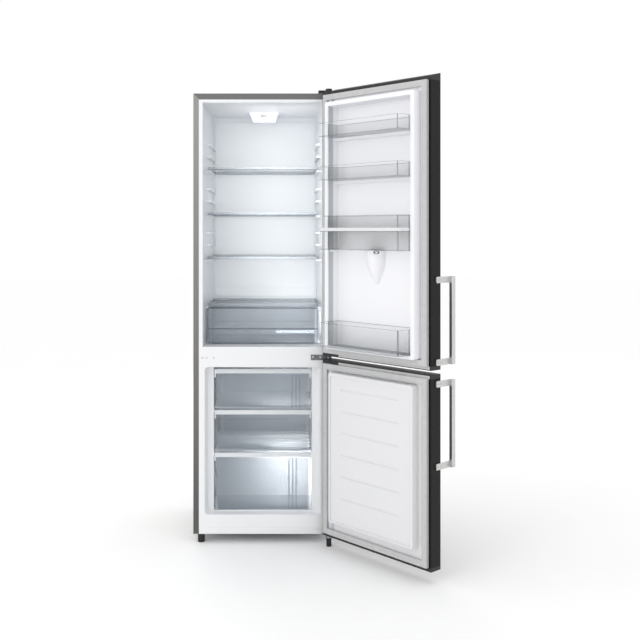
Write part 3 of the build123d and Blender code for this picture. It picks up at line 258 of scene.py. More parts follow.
# %% [markdown]
# ## Painted steel
# The case is folded from pre-painted steel sheet in a warm grey. Its paint is rolled on and
# baked, so it has a faint orange peel, a few millimetres across and microns deep. The front
# bands are the folded edge. Their tone falls with height as a painted reflection of the darker
# room lower down, and the top band, darker as painted shade, meets them in a mitre. A thin
# joint runs across at the middle hinge. All of it is told from the place on the case, so one
# material does it.

# %% Painted steel
case_grey, tree, shader, place = material("prepainted_grey_steel", "#93928f", Roughness=0.42)
case_top, case_half, front_face, band_foot = 1.787, 0.275, -0.2445, 1.755
peel = grain(tree, place, 3 * mm)
paint = tone(tree, shader, grain(tree, place, 140 * mm, 2.0), "#8a8986", "#92918e")
across, depth, height = add(tree, "ShaderNodeSeparateXYZ", {}, {0: place}).outputs
# painted reflection: on the case's front the bands darken towards the floor
side_band_painted_reflection = blend(tree, ramp(tree, height, 0.1, 1.7), "#535250", "#949390")
drop = maths(tree, "SUBTRACT", case_top, height)
inset = maths(tree, "SUBTRACT", case_half, maths(tree, "ABSOLUTE", across))
mitre = maths(tree, "GREATER_THAN", inset, drop)
face = maths(tree, "LESS_THAN", depth, front_face)
high = maths(tree, "GREATER_THAN", height, band_foot)
# painted shade: the band along the top of the case's front is darker
top_band_painted_shade = maths(tree, "MULTIPLY", maths(tree, "MULTIPLY", mitre, face), high)
joint = maths(tree, "MULTIPLY", band(tree, height, 0.7385, 0.7415), face)
folded = blend(tree, face, paint, side_band_painted_reflection)
# one darker tone serves the top band's painted shade and the joint line
final = blend(tree, maths(tree, "MAXIMUM", top_band_painted_shade, joint), folded, "#6c6c6a")
tree.links.new(final, shader.inputs["Base Color"])
gloss(tree, shader, peel, 0.36, 0.46)
relief(tree, shader, peel, 0.03 * mm)
dress(case_grey, "cabinet_wrapper")

door_black = coat("stove_enamel_black", "#0d0d0e", ("#0b0b0c", "#121213"), (0.26, 0.36), 0.02,
                  ((90, 2), (2.5, 3), (2.5, 3)), Specular_IOR_Level=0.2)
dress(door_black, "upper_door_skin", "lower_door_skin")

zinc, tree, shader, place = material("galvanised_sheet", "#b6babc", Metallic=1.0)
cells = add(tree, "ShaderNodeTexVoronoi", {}, {"Vector": place, "Scale": 1 / (11 * mm)})
spangle = add(tree, "ShaderNodeSeparateColor", {}, {0: cells.outputs["Color"]})
tone(tree, shader, spangle.outputs[0], "#adb2b5", "#c0c4c6")
gloss(tree, shader, spangle.outputs[1], 0.38, 0.55)
relief(tree, shader, grain(tree, place, 1.5 * mm), 0.02 * mm)
dress(zinc, "rear_panel", "base_plate", "compressor_bay_wall")
print("sheet metals", case_grey.name, door_black.name, zinc.name)

# %% [markdown]
# ## Moulded plastics
# The liners are one sheet of white polystyrene, softened and sucked over a form. That leaves
# a soft satin surface that undulates a little. Its colour is painted cooler and darker towards
# the rear of the compartments, a painted shade of the deep inside.
# The upper door's liner has a painted shade, cooler and darker, on the hinge-side wall of its
# recess, and the lower door's liner is painted a shade darker, as painted shade.
# Caps, feet and covers are moulded in black with a fine spark-eroded texture of about half a
# millimetre, drawn at one millimetre so that it shows.

# %% Liner polystyrene
liner_white, tree, shader, place = material("vacuum_formed_polystyrene", "#f1f4f6",
                                             Roughness=0.32, IOR=1.59)
depth = add(tree, "ShaderNodeSeparateXYZ", {}, {0: place}).outputs["Y"]
# painted shade: the liner darkens and cools towards the rear of the compartments
tone(tree, shader, ramp(tree, depth, -0.235, 0.12), "#edeef0", "#e3e6e9")
gloss(tree, shader, grain(tree, place, 60 * mm, 1.0), 0.28, 0.38)
relief(tree, shader, grain(tree, place, 6 * mm, 2.0), 0.05 * mm)
dress(liner_white, "fridge_liner", "freezer_liner", "mid_beam", "kick_plate")

door_white, tree, shader, place = material("door_liner_polystyrene", "#f4f4f6", IOR=1.59)
height = add(tree, "ShaderNodeSeparateXYZ", {}, {0: place}).outputs["Z"]
# painted shade: the lower door's liner is a shade darker than the upper one
sheet = tone(tree, shader, ramp(tree, height, 0.70, 0.78), "#e3e3e5", "#f6f6f9")
# painted shade: the hinge-side wall of the upper door's recess is darker and cooler
hinge_wall_painted_shade = maths(tree, "MULTIPLY", band(tree, reach_along(tree, place, "along"), 36 * mm, 53.5 * mm),
             band(tree, reach_along(tree, place, "out"), 3 * mm, 52 * mm))
tree.links.new(blend(tree, hinge_wall_painted_shade, sheet, "#bcc2c7"), shader.inputs["Base Color"])
gloss(tree, shader, grain(tree, place, 80 * mm, 1.0), 0.28, 0.4)
relief(tree, shader, grain(tree, place, 6 * mm, 2.0), 0.05 * mm)
dress(door_white, "upper_door_liner", "lower_door_liner", "lamp_housing")

black_plastic = coat("textured_black_abs", "#17181a", ("#131416", "#1e1f21"), (0.42, 0.6), 0.05,
                     ((30, 2), (1, 2), (1, 2)), IOR=1.54)
dress(black_plastic, "upper_door_caps", "lower_door_caps", "top_hinge_cover", "wall_spacers",
      "compressor_relay_box", "evaporation_tray", "left_foot", "right_foot", "left_roller",
      "right_roller", "dispenser_housing", "dispenser_lever")

pale_plastic = coat("pale_grey_abs", "#c9ccce", ("#c3c6c9", "#d2d5d7"), (0.38, 0.5), 0.03,
                    ((12, 2), (1.2, 2), (1.2, 2)), IOR=1.54)
dress(pale_plastic, "beam_plugs", "thermostat_dial", "drain_tube", "dispenser_valve")
print("plastics", liner_white.name, door_white.name, black_plastic.name, pale_plastic.name)

# %% [markdown]
# ## Clear plastics and glass
# Drawers and bins are clear polystyrene with a faint blue that hides yellowing. Seen through
# two walls they read as a blue-grey. Real refraction would need many samples, so the walls are
# made partly see-through instead, which keeps the bright gloss and lets light into the boxes.
# A flow pattern of a few centimetres gives the gloss its slight waviness. Where light gathers in
# an edge, the floors and rims of the boxes get painted shade: lines that are darker and hide
# more. Past the door boxes' free end, a wall is seen flat on and is made more see-through. The
# lamp's lens is lit.

# %% Clear plastics and glass
def clear_plastic(name, dark, light, alpha, lines=(), edge_shade_tint="#87919b", line_alpha=0.5,
                  clear_end=None):
    """Clear moulding with its tint, how much it hides, and where painted shade darkens its edges.
    """
    made, tree, shader, place = material(name, light, Alpha=alpha, IOR=1.59)
    flow = grain(tree, place, 35 * mm, 1.0)
    colour = tone(tree, shader, flow, dark, light)
    gloss(tree, shader, flow, 0.06, 0.14)
    relief(tree, shader, flow, 0.02 * mm)
    if not lines:
        return made
    # painted shade: darker lines along the edges, where light gathers in the clear plastic
    seen = None
    for way, low, high in lines:
        here = band(tree, reach_along(tree, place, way), low * mm, high * mm)
        seen = here if seen is None else maths(tree, "MAXIMUM", seen, here)
    tree.links.new(blend(tree, seen, colour, edge_shade_tint), shader.inputs["Base Color"])
    wall = alpha
    if clear_end:
        past = maths(tree, "GREATER_THAN", reach_along(tree, place, "along"), clear_end * mm)
        wall = ramp(tree, past, 0.0, 1.0, alpha, 0.25 * alpha)
    tree.links.new(ramp(tree, seen, 0.0, 1.0, wall, line_alpha), shader.inputs["Alpha"])
    return made


door_boxes = {
    "door_bin_top": (1600.0, 1652.0), "door_bin_middle": (1434.0, 1487.0),
    "water_tank": (1170.0, 1239.7), "tank_lid": (1240.0, 1298.0), "bottle_bin": (800.0, 893.0),
}
free_end = 461.5  # of the door boxes, from the hinge line
# painted shade lines at the door boxes' free end, room side, floors and rims
bin_lines = [("along", 457.5, free_end), ("out", 54.0, 58.0)]
for low, high in door_boxes.values():
    bin_lines += [("up", low, low + 1.8), ("up", high - 1.2, high + 0.3)]
# painted shade lines at the crisper's foot, groove and rim
crisper_lines = [("up", 840.5, 844), ("up", 783, 786), ("up", 925, 929.5)]
drawer_clear = clear_plastic("clear_blue_polystyrene", "#b4bfcb", "#c3ccd6", 0.17)
crisper_clear = clear_plastic("clear_crisper_polystyrene", "#bac3cd", "#c6ced7", 0.22,
                              crisper_lines, "#6f7a88")
bin_clear = clear_plastic("clear_bin_polystyrene", "#e3e8eb", "#eef1f3", 0.06,
                          bin_lines, "#727d89", clear_end=free_end)
tank_clear = clear_plastic("clear_tank_polystyrene", "#e3e8eb", "#eef1f3", 0.035,
                           bin_lines, "#5f6b78", clear_end=free_end)
lens_clear = clear_plastic("lamp_lens_polycarbonate", "#f4f8fa", "#ffffff", 0.9)
lens_shader = lens_clear.node_tree.nodes["Principled BSDF"]
lens_shader.inputs["Emission Color"].default_value = linear("#ffffff")
lens_shader.inputs["Emission Strength"].default_value = 0.5
pane_glass = clear_plastic("tempered_float_glass", "#a9b2b9", "#b7bfc5", 0.28)
dress(drawer_clear, "freezer_drawer_top", "freezer_drawer_middle", "freezer_drawer_bottom")
dress(crisper_clear, "crisper_drawer")
dress(bin_clear, "door_bin_top", "door_bin_middle", "bottle_bin")
dress(tank_clear, "water_tank", "tank_lid", "tank_flap")
dress(lens_clear, "lamp_lens")
dress(pane_glass, "shelf_top", "shelf_middle", "shelf_lower", "crisper_cover")
clear_kinds = (drawer_clear, crisper_clear, bin_clear, tank_clear, lens_clear, pane_glass)
print("clear materials", [kind.name for kind in clear_kinds])

# %% [markdown]
# ## Bare metals
# Copper refrigerant tube is drawn bright and soon dulls brown in patches. Hinge plates and
# screws are zinc plated. Handle bars are brushed along their length: fine scratches that run
# with the bar, here one third of a millimetre apart, stretch the highlight across it.

# %% Bare metals
copper = coat("drawn_copper_tube", "#b4714e", ("#8a5238", "#c98462"), (0.28, 0.5), 0.01,
              ((25, 4), (25, 4), (1, 3)), Metallic=1.0)
dress(copper, "refrigerant_pipes")

cold_metal, tree, shader, place = material("lacquered_evaporator_tube", "#e3e8ea", Roughness=0.4)
lacquer = grain(tree, place, 4 * mm, 2.0)
tone(tree, shader, lacquer, "#dbe1e4", "#edf0f2")
relief(tree, shader, lacquer, 0.05 * mm)
dress(cold_metal, "evaporators")

hinge_zinc = coat("dark_zinc_plate", "#75767a", ("#646569", "#85868a"), (0.3, 0.5), 0.02,
                  ((6, 4), (6, 4), (0.8, 3)), Metallic=1.0)
dress(hinge_zinc, "top_hinge_bracket", "middle_hinge_bracket")

screw_zinc = coat("bright_zinc_plate", "#b9bcc0", ("#a9acb0", "#cccfd2"), (0.2, 0.35), 0.01,
                  ((4, 3), (4, 3), (0.6, 3)), Metallic=1.0)
dress(screw_zinc, "lower_hinge_bracket", "roller_axles", "hinge_screws")

brushed, tree, shader, place = material("brushed_aluminium_bar", "#c9c9c7",
                                         Metallic=1.0, Anisotropic=0.5)
scratch = grain(tree, place, 0.35 * mm, 2.0, (1, 1, 0.02))
tone(tree, shader, scratch, "#bcbcba", "#e2e2e0")
gloss(tree, shader, scratch, 0.26, 0.42)
relief(tree, shader, scratch, 0.01 * mm)
dress(brushed, "upper_door_handle", "lower_door_handle")
print("metals", copper.name, cold_metal.name, hinge_zinc.name, screw_zinc.name, brushed.name)

# %% [markdown]
# ## Unseen and soft materials
# The foam is poured as a liquid and sets as fine closed cells in a straw colour. The seals are
# soft grey vinyl, matt, with a slight bloom. Compressors are dipped in black enamel, and stand
# on rubber feet.

# %% Foam, vinyl, rubber and compressor enamel
foam, tree, shader, place = material("polyurethane_foam", "#e6d7a6", Roughness=0.9)
cells = add(tree, "ShaderNodeTexVoronoi", {}, {"Vector": place, "Scale": 1 / (2 * mm)})
tone(tree, shader, cells.outputs["Distance"], "#d3bf85", "#efe4bd")
relief(tree, shader, cells.outputs["Distance"], 0.4 * mm)
dress(foam, "cabinet_foam", "upper_door_foam", "lower_door_foam")

vinyl = coat("grey_seal_vinyl", "#c2c2c2", ("#b9b9ba", "#cbcbcb"), (0.45, 0.6), 0.03,
             ((18, 3), (18, 3), (1.2, 3)), IOR=1.53)
dress(vinyl, "upper_door_gasket", "lower_door_gasket")

dipped = coat("dipped_black_enamel", "#121315", ("#0f1012", "#1b1c1f"), (0.25, 0.4), 0.15,
              ((14, 2), (14, 2), (14, 2)), Coat_Weight=0.3)
dress(dipped, "compressor")

grommet = coat("nitrile_rubber", "#1a1a1b", ("#151516", "#262627"), (0.6, 0.8), 0.05,
               ((2, 3), (2, 3), (2, 3)), IOR=1.52)
dress(grommet, "compressor_mounts")

sweep, tree, shader, place = material("matt_white_sweep", "#ffffff", Roughness=0.9)
tone(tree, shader, grain(tree, place, 400 * mm, 2.0), "#fdfdfd", "#ffffff")
floor.data.materials.append(sweep)
undressed = [name for name, item in nodes.items()
             if not any(slot.material for slot in item.material_slots)]
print("nodes without a finish", undressed)

# %% [markdown]
# ## Helpers for modelling
# Each new piece starts as a primitive of its real size, is shaped in edit mode by faces and
# edges picked by their place, and is finished with a modifier that is applied. A door piece is
# modelled on the shut door, where its sides are square to the axes, and then swung open about
# the hinge line. The turn goes into the mesh, so that its object stays at the origin.

# %% Helpers for modelling
hinge = Matrix.Translation(hinge_line)
opened = hinge @ Matrix.Rotation(open_angle, 4, "Z") @ Matrix.Translation(-Vector(hinge_line))
inner_face, outer_face = -257.2, -312.8


def activate(*items):
    """Selects these objects alone, with the first one active."""
    deselect()
    for item in items:
        item.select_set(True)
    bpy.context.view_layer.objects.active = items[0]


def slab(name, x, y, z):
    """Block between limits in millimetres, the start of a piece."""
    deselect()
    limits = [[value * mm for value in pair] for pair in (x, y, z)]
    bpy.ops.mesh.primitive_cube_add(size=1, location=[sum(pair) / 2 for pair in limits])
    piece = bpy.context.object
    piece.name = piece.data.name = name
    piece.scale = [pair[1] - pair[0] for pair in limits]
    bpy.ops.object.transform_apply(location=True, rotation=True, scale=True)
    return piece


def rod(name, centre, radius, length, axis="Z", sides=32):
    """Round bar about a centre in millimetres, the start of a turned piece."""
    deselect()
    turn = {"X": (0, math.pi / 2, 0), "Y": (math.pi / 2, 0, 0), "Z": (0, 0, 0)}[axis]
    bpy.ops.mesh.primitive_cylinder_add(vertices=sides, radius=radius * mm, depth=length * mm,
                                        location=[value * mm for value in centre], rotation=turn)
    piece = bpy.context.object
    piece.name = piece.data.name = name
    bpy.ops.object.transform_apply(location=True, rotation=True, scale=True)
    return piece


def pick(piece, kind, test):
    """Edit mode with only the faces, edges or vertices that pass the test selected."""
    activate(piece)
    bpy.ops.object.mode_set(mode="EDIT")
    bpy.ops.mesh.select_mode(type=kind)
    bpy.ops.mesh.select_all(action="DESELECT")
    mesh = bmesh.from_edit_mesh(piece.data)
    items = {"FACE": mesh.faces, "EDGE": mesh.edges, "VERT": mesh.verts}[kind]
    chosen = [item for item in items if test(item)]
    if not chosen:
        raise ValueError(f"nothing picked on {piece.name}")
    for item in chosen:
        item.select_set(True)
    bmesh.update_edit_mesh(piece.data)


def leave():
    """Back to object mode, which writes the edits into the mesh."""
    bpy.ops.object.mode_set(mode="OBJECT")


def round_edges(piece, size, steps, test):
    """Bevels the edges that pass the test."""
    pick(piece, "EDGE", test)
    bpy.ops.mesh.bevel(offset=size * mm, segments=steps, affect="EDGES")
    leave()


def recess(piece, wall, push, test):
    """Insets the faces that pass the test and pushes them in by millimetres."""
    pick(piece, "FACE", test)
    bpy.ops.mesh.inset(thickness=wall * mm)
    shift = {"value": tuple(step * mm for step in push)}
    bpy.ops.mesh.extrude_region_move(TRANSFORM_OT_translate=shift)
    leave()


def middle(edge):
    """Midpoint of an edge, in millimetres."""
    return (edge.verts[0].co + edge.verts[1].co) / 2 / mm


def extent(edge):
    """How far an edge reaches along each axis, in millimetres."""
    return (edge.verts[0].co - edge.verts[1].co) / mm


def upright_edge(edge):
    """True of an edge that stands up, also where the mould's draft leans it a little."""
    return abs(extent(edge).z) > 5 and extent(edge).xy.length < 8


def soften(piece, width, segments=2, angle=40):
    """Rounds every sharp edge by a real radius and shades by angle."""
    activate(piece)
    edge = piece.modifiers.new("edge_radius", "BEVEL")
    edge.width, edge.segments, edge.limit_method = width * mm, segments, "ANGLE"
    edge.angle_limit, edge.harden_normals = math.radians(angle), False
    bpy.ops.object.modifier_apply(modifier=edge.name)
    bpy.ops.object.shade_smooth_by_angle(angle=math.radians(35))
    return piece


def join(name, *items):
    """Several shapes as one piece."""
    activate(*items)
    bpy.ops.object.join()
    piece = bpy.context.object
    piece.name = piece.data.name = name
    return piece


def fit(piece, finish, body, hides=(), swing=False):
    """Gives the piece its finish, hangs it on its body and hides what it stands for."""
    piece.data.materials.clear()
    piece.data.materials.append(finish)
    if swing:
        piece.data.transform(opened)
    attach(piece, body)
    if hides:
        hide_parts(*hides)
    print(piece.name, len(piece.data.polygons), "faces on", body)
    return piece


print("door swung by", round(math.degrees(open_angle), 1), "degrees")

# %% [markdown]
# ## Door seals
# A seal is one extruded vinyl profile, mitred and welded at its four corners: a flat foot held
# in the door, a thin bellows, and a fat bulb that holds the magnet. A flat frame is made from a
# slab by insetting its front and back and bridging the two, then cut at several depths, and the
# loops at the bellows are pulled in. That keeps the four corners true mitres.

# %% Door seals
def seal(name, low, high):
    """Magnetic seal frame between two levels on the shut door."""
    back, face = inner_face + 0.2, inner_face + 11.6
    wide, width = 262.0, 22.0
    piece = slab(name, (-wide, wide), (back, face), (low, high))
    pick(piece, "FACE", lambda f: abs(f.normal.y) > 0.9)
    bpy.ops.mesh.inset(thickness=width * mm, use_individual=True)
    bpy.ops.mesh.bridge_edge_loops()
    for cut in (3.2, 4.6, 6.0, 7.4):
        bpy.ops.mesh.select_all(action="SELECT")
        bpy.ops.mesh.bisect(plane_co=(0, (back + cut) * mm, 0), plane_no=(0, 1, 0))
    leave()
    centre, half, squeeze = (low + high) / 2, (high - low) / 2, 4.0

    def outside(point):
        """True of a point on the frame's outer outline, not on its inner one."""
        return abs(point.x / mm) > wide - 1 or abs(point.z / mm - centre) > half - 1

    pulls = {True: (1 - squeeze / wide, 1, 1 - squeeze / half),
             False: (1 + squeeze / (wide - width), 1, 1 + squeeze / (half - width))}
    for level in (4.6, 6.0):
        for outer, pull in pulls.items():
            pick(piece, "VERT", lambda v: abs(v.co.y / mm - back - level) < 0.2
                 and outside(v.co) == outer)
            bpy.ops.transform.resize(value=pull, center_override=(0, 0, centre * mm))
            leave()
    return soften(piece, 1.3, 3, 35)


for door, low, high in (("upper", 764.5, 1772.3), ("lower", 59.5, 723.0)):
    fit(seal(f"{door}_seal", low, high), vinyl, f"{door}_door",
        [f"{door}_door_gasket"], True)

# %% [markdown]
# ## Handle bars
# Each handle is a flat brushed bar on two plates that screw to the door's free end face. The
# bar's ends are cut square with a small bright chamfer. The plate is drawn in at its foot, and
# two countersunk screws with a hexagon socket hold it.

# %% Handle bars
handle_length, plate_height = 313.0, 22.5


def handle(name, low):
    """Bar, two plates and four screws, on the shut door."""
    high = low + handle_length
    bar = slab("bar", (-290.5, -275.5), (outer_face - 60, outer_face - 42), (low, high))
    parts = [soften(bar, 2.2, 3)]
    for z in ((low, low + plate_height), (high - plate_height, high)):
        plate = slab("plate", (-281, -275), (outer_face - 43, outer_face + 33), z)
        round_edges(plate, 4, 4, lambda e: abs(middle(e).y - outer_face - 33) < 0.5
                    and abs(middle(e).z - sum(z) / 2) > 5)
        parts.append(soften(plate, 0.6, 2))
        for back in (9, 24):
            screw = rod("screw", (-281.2, outer_face + back, sum(z) / 2), 3.4, 1.4, "X", 24)
            recess(screw, 1.3, (1.0, 0, 0), lambda f: f.normal.x < -0.9)
            parts.append(soften(screw, 0.2, 2))
    return join(name, *parts)


for door, low in (("upper", 767.0), ("lower", 400.5)):
    fit(handle(f"{door}_bar_handle", low), brushed, f"{door}_door",
        [f"{door}_door_handle"], True)

# %% [markdown]
# ## Glass shelves
# A shelf is a sheet of tempered float glass, 4 mm thick with ground edges, pushed into a clear
# moulded trim at the front and a lower one at the back. The trim hides the sharp edge, holds
# back spills and catches the light as one bright line. The same two functions make them all.

# %% Glass shelves
shelf_tops = {"crisper_cover": 944.0, "shelf_lower": 1137.0, "shelf_middle": 1317.0,
              "shelf_top": 1502.0}
# painted shade: a darker line along the foot of each clear shelf trim
trim_lines = [("up", top - 11.8, top - 9.3) for top in shelf_tops.values()]
trim_clear = clear_plastic("clear_shelf_trim", "#c6cdd4", "#d6dce1", 0.22,
                           trim_lines, "#858e98", 0.6)


def shelf_pane(name, top):
    """Pane with rounded corners and ground edges."""
    pane = slab(name, (-225, 225), (-147, 176), (top - 5.5, top - 1.5))
    round_edges(pane, 5, 4, lambda e: abs(extent(e).z) > 3)
    return soften(pane, 0.5, 2)


def shelf_trim(name, top):
    """Front and back trims with a hollow underside, and the runner under each side."""
    parts = []
    for y, radius in (((-150, -136), 0.5), ((165, 179), 0.8)):
        strip = slab("strip", (-226, 226), y, (top - 11.7, top))
        outer = max(y, key=abs)
        round_edges(strip, 4, 4, lambda e: abs(middle(e).y - outer) < 0.5 and middle(e).z > top - 1)
        recess(strip, 2, (0, 0, 3.5), lambda f: f.normal.z < -0.9)
        parts.append(soften(strip, radius, 2))
    for side in (-1, 1):
        x = sorted((side * 217, side * 225))
        runner = slab("runner", x, (-136.2, 165.2), (top - 11.7, top - 5.6))
        round_edges(runner, 2, 3, lambda e: middle(e).z < top - 11
                    and abs(abs(middle(e).x) - 221) > 3)
        parts.append(soften(runner, 0.4, 1))
    return join(name, *parts)


for body, top in shelf_tops.items():
    fit(shelf_pane(f"{body}_pane", top), pane_glass, body, [body])
    fit(shelf_trim(f"{body}_trim", top), trim_clear, body)

# %% [markdown]
# ## Moulded tubs
# Drawers, bins and the tank are all open boxes from an injection mould: even walls, a little
# draft so that they leave the mould, and rounded corners. A block has its foot drawn in, its
# upright edges bevelled, and its top inset by the wall and pushed down to make the inside.

# %% Moulded tubs
def tub(name, x, y, z, wall, draft, corner, steps=5, only=None):
    """Open box; only picks which upright edges are rounded or chamfered."""
    piece = slab(name, x, y, z)
    taper = {"value": (*(1 - 2 * draft / (pair[1] - pair[0]) for pair in (x, y)), 1),
             "center_override": (sum(x) / 2 * mm, sum(y) / 2 * mm, 0)}
    round_edges(piece, corner, steps,
                lambda e: upright_edge(e) and (only is None or only(middle(e))))
    if draft:
        pick(piece, "VERT", lambda v: v.co.z < (z[0] + 1) * mm)
        bpy.ops.transform.resize(**taper)
        leave()
    pick(piece, "FACE", lambda f: f.normal.z > 0.99)
    bpy.ops.mesh.inset(thickness=wall * mm)
    sink = {"value": (0, 0, (z[0] + wall - z[1]) * mm)}
    bpy.ops.mesh.extrude_region_move(TRANSFORM_OT_translate=sink)
    if draft:
        bpy.ops.transform.resize(**taper)
    leave()
    return soften(piece, 0.8, 2, 50)


def room_side(point):
    """Upright edges on the side of a door bin that faces the room."""
    return point.y > inner_face + 40


def door_box(name, z, reach, corner):
    """Open box on the shut door, rounded on the side that faces the room."""
    y = (inner_face - 19, inner_face + reach)
    return tub(name, (-205.5, 205.5), y, z, 2.2, 0, corner, 4, room_side)


for node, reach, corner in (("door_bin_top", 90, 6), ("door_bin_middle", 90, 6),
                            ("bottle_bin", 94, 22)):
    low, high = door_boxes[node]
    shell = door_box(f"{node}_shell", (low + 0.3, high), reach, corner)
    fit(shell, bin_clear, node, [node], True)

# %% [markdown]
# ## Freezer drawers
# The drawers have a clear tub and a clear front. The top and bottom ones have a few upright
# ribs on the right and are modelled here, and the middle one keeps its CAD tub. All three get
# a thick rim along the top of the front. The rim is painted a near-opaque white, a painted
# highlight for the white band where it catches the light, and turns down at both ends in an ear
# that runs on the liner's step.

# %% Freezer drawer tubs
# painted highlight: the clear rim is made a near-opaque white
rim_painted_highlight = clear_plastic("drawer_rim_painted_highlight", "#e6ebef", "#f6f8fa", 0.8)
drawer_sizes = {
    "freezer_drawer_top": (531.9, 523.0, 686.0, 172.0),
    "freezer_drawer_middle": (360.9, 352.0, 521.0, 172.0),
    "freezer_drawer_bottom": (120.3, 121.0, 350.0, 6.0),
}
for node, (seat, low, high, back) in drawer_sizes.items():
    if node != "freezer_drawer_middle":
        shell = tub("shell", (-186, 186), (-203, back), (seat, high - 22), 2.5, 4, 8, 5,
                    lambda point: point.y > back - 20)
        front_wall = slab("front_wall", (-188, 188), (-203, -200.5), (low, high - 6))
        round_edges(front_wall, 4, 4, lambda e: abs(extent(e).y) > 1 and middle(e).z < low + 1)
        soften(front_wall, 0.5, 2)
        ribs = []
        for x in (117, 133, 148) if node == "freezer_drawer_top" else (105, 120, 134):
            rib = slab("rib", (x - 2.5, x + 2.5), (-205.0, -202.8), (low + 6, high - 17))
            round_edges(rib, 0.9, 2, lambda e: upright_edge(e) and middle(e).y < -204)
            ribs.append(soften(rib, 0.3, 1))
        drawer = join(f"{node}_tub", shell, front_wall, *ribs)
        fit(drawer, drawer_clear, node, [node])


# %% Freezer drawer rims
def drawer_rim(name, high, hollow):
    """White rim with its two ears, over the top of a drawer's front."""
    y = (-206, -191) if hollow else (-206.3, -190.9)
    rim = slab(name, (-194.2, 194.2), y, (high - 17.2, high + 0.2))
    round_edges(rim, 5, 5, lambda e: abs(extent(e).y) > 5 and middle(e).z > high - 2)
    round_edges(rim, 3, 4, lambda e: middle(e).z > high - 6 and middle(e).y < -205
                and abs(middle(e).x) < 150)
    if hollow:
        recess(rim, 2.5, (0, 0, 12), lambda f: f.normal.z < -0.9)
    ears = []
    for side in (-1, 1):
        x = sorted((side * 188.5, side * 194.2))
        ear = slab("ear", x, (-204, -192.5), (high - 34.2, high - 15))
        round_edges(ear, 2.5, 3, lambda e: abs(extent(e).y) > 5 and middle(e).z < high - 30)
        ears.append(soften(ear, 0.6, 2))
    return join(name, soften(rim, 0.6, 2), *ears)


for node, (seat, low, high, back) in drawer_sizes.items():
    rim = drawer_rim(f"{node}_rim", high, node != "freezer_drawer_middle")
    fit(rim, rim_painted_highlight, node)

# %% [markdown]
# ## Crisper drawer
# One wide tub under the lowest glass, with a deeper front plate. A groove runs across the plate
# and its top edge rolls forward as a finger pull.

# %% Crisper drawer
shell = tub("shell", (-214, 214), (-153, 173), (780.3, 929), 2.5, 4, 10, 5, lambda p: p.y > 150)
plate = slab("plate", (-223, 223), (-157, -153), (783.3, 929))
pick(plate, "EDGE", lambda e: abs(extent(e).y) > 3)
bpy.ops.mesh.bevel(offset=6 * mm, segments=5, affect="EDGES")
for groove_edge in (841, 843.5):
    bpy.ops.mesh.select_all(action="SELECT")
    bpy.ops.mesh.bisect(plane_co=(0, 0, groove_edge * mm), plane_no=(0, 0, 1))
leave()
recess(plate, 0.4, (0, 1.2, 0), lambda f: f.normal.y < -0.9
       and abs(f.calc_center_median().z / mm - 842.25) < 1)
soften(plate, 0.5, 2)
pull = slab("pull", (-223, 223), (-157, -139), (926, 929))
round_edges(pull, 1.2, 3, lambda e: middle(e).y > -140 and abs(middle(e).x) < 100)
crisper = join("crisper_tub", shell, plate, soften(pull, 0.4, 2))
fit(crisper, crisper_clear, "crisper_drawer", ["crisper_drawer"])

# %% [markdown]
# ## Screws, plugs and the lamp's marks
# Hinge plates are held by pan-head screws with a cross recess. A head is a short cylinder whose
# top is rounded, with a cross pressed into it. The blanking plugs that fill the spare holes of
# the beam are small domes. The lamp shows three moulded marks over the thermostat wheel.

# %% Screws
def pan_head(name, place, axis):
    """Head with a cross recess, and its shank; the axis points out of the head."""
    head = rod(name, (0, 0, 1.0), 4.6, 2.0, "Z", 24)
    pick(head, "FACE", lambda f: f.normal.z > 0.9)
    bpy.ops.mesh.inset(thickness=1.2 * mm)
    bpy.ops.transform.translate(value=(0, 0, 0.5 * mm))
    leave()
    for wide, tall in ((5.0, 1.1), (1.1, 5.0)):
        cutter = slab("cutter", (-wide / 2, wide / 2), (-tall / 2, tall / 2), (1.2, 4.0))
        cross = head.modifiers.new("cross", "BOOLEAN")
        cross.operation, cross.object = "DIFFERENCE", cutter
        activate(head)
        bpy.ops.object.modifier_apply(modifier=cross.name)
        bpy.data.objects.remove(cutter)
    shank = rod("shank", (0, 0, -6.0), 2.3, 12.2, "Z", 12)
    pick(shank, "FACE", lambda f: f.normal.z < -0.9)
    bpy.ops.transform.resize(value=(0.3, 0.3, 1), center_override=(0, 0, 0))
    leave()
    screw = join(name, soften(head, 0.15, 2), shank)
    turn = Vector((0, 0, 1)).rotation_difference(Vector(axis)).to_matrix().to_4x4()
    screw.data.transform(Matrix.Translation(Vector(place) * mm) @ turn)
    return screw


screws = []
for x in (200.7, 230.5):
    screws.append(pan_head("screw", (x, -248.0, 740.5), (0, -1, 0)))
for x, y in ((238, -229), (262, -229), (250, -203)):
    screws.append(pan_head("screw", (x, y, 1790.0), (0, 0, 1)))
for x, y in ((244, -211), (262, -211), (253, -179)):
    screws.append(pan_head("screw", (x, y, 34.0), (0, 0, -1)))
for side in (-1, 1):
    for fore in (-1, 1):
        x, y = -60 + side * 97, 146 + fore * 43
        bolt = rod("bolt", (x, y, 56.0), 8.0, 4.0, "Z", 6)
        round_edges(bolt, 0.8, 2, lambda e: abs(middle(e).z - 58) < 0.3)
        stem = rod("stem", (x, y, 45.0), 3.8, 21.8, "Z", 16)
        round_edges(stem, 0.8, 2, lambda e: middle(e).z < 35)
        screws += [soften(bolt, 0.3, 1), soften(stem, 0.2, 1)]
fit(join("fixing_screws", *screws), screw_zinc, "cabinet", ["hinge_screws"])

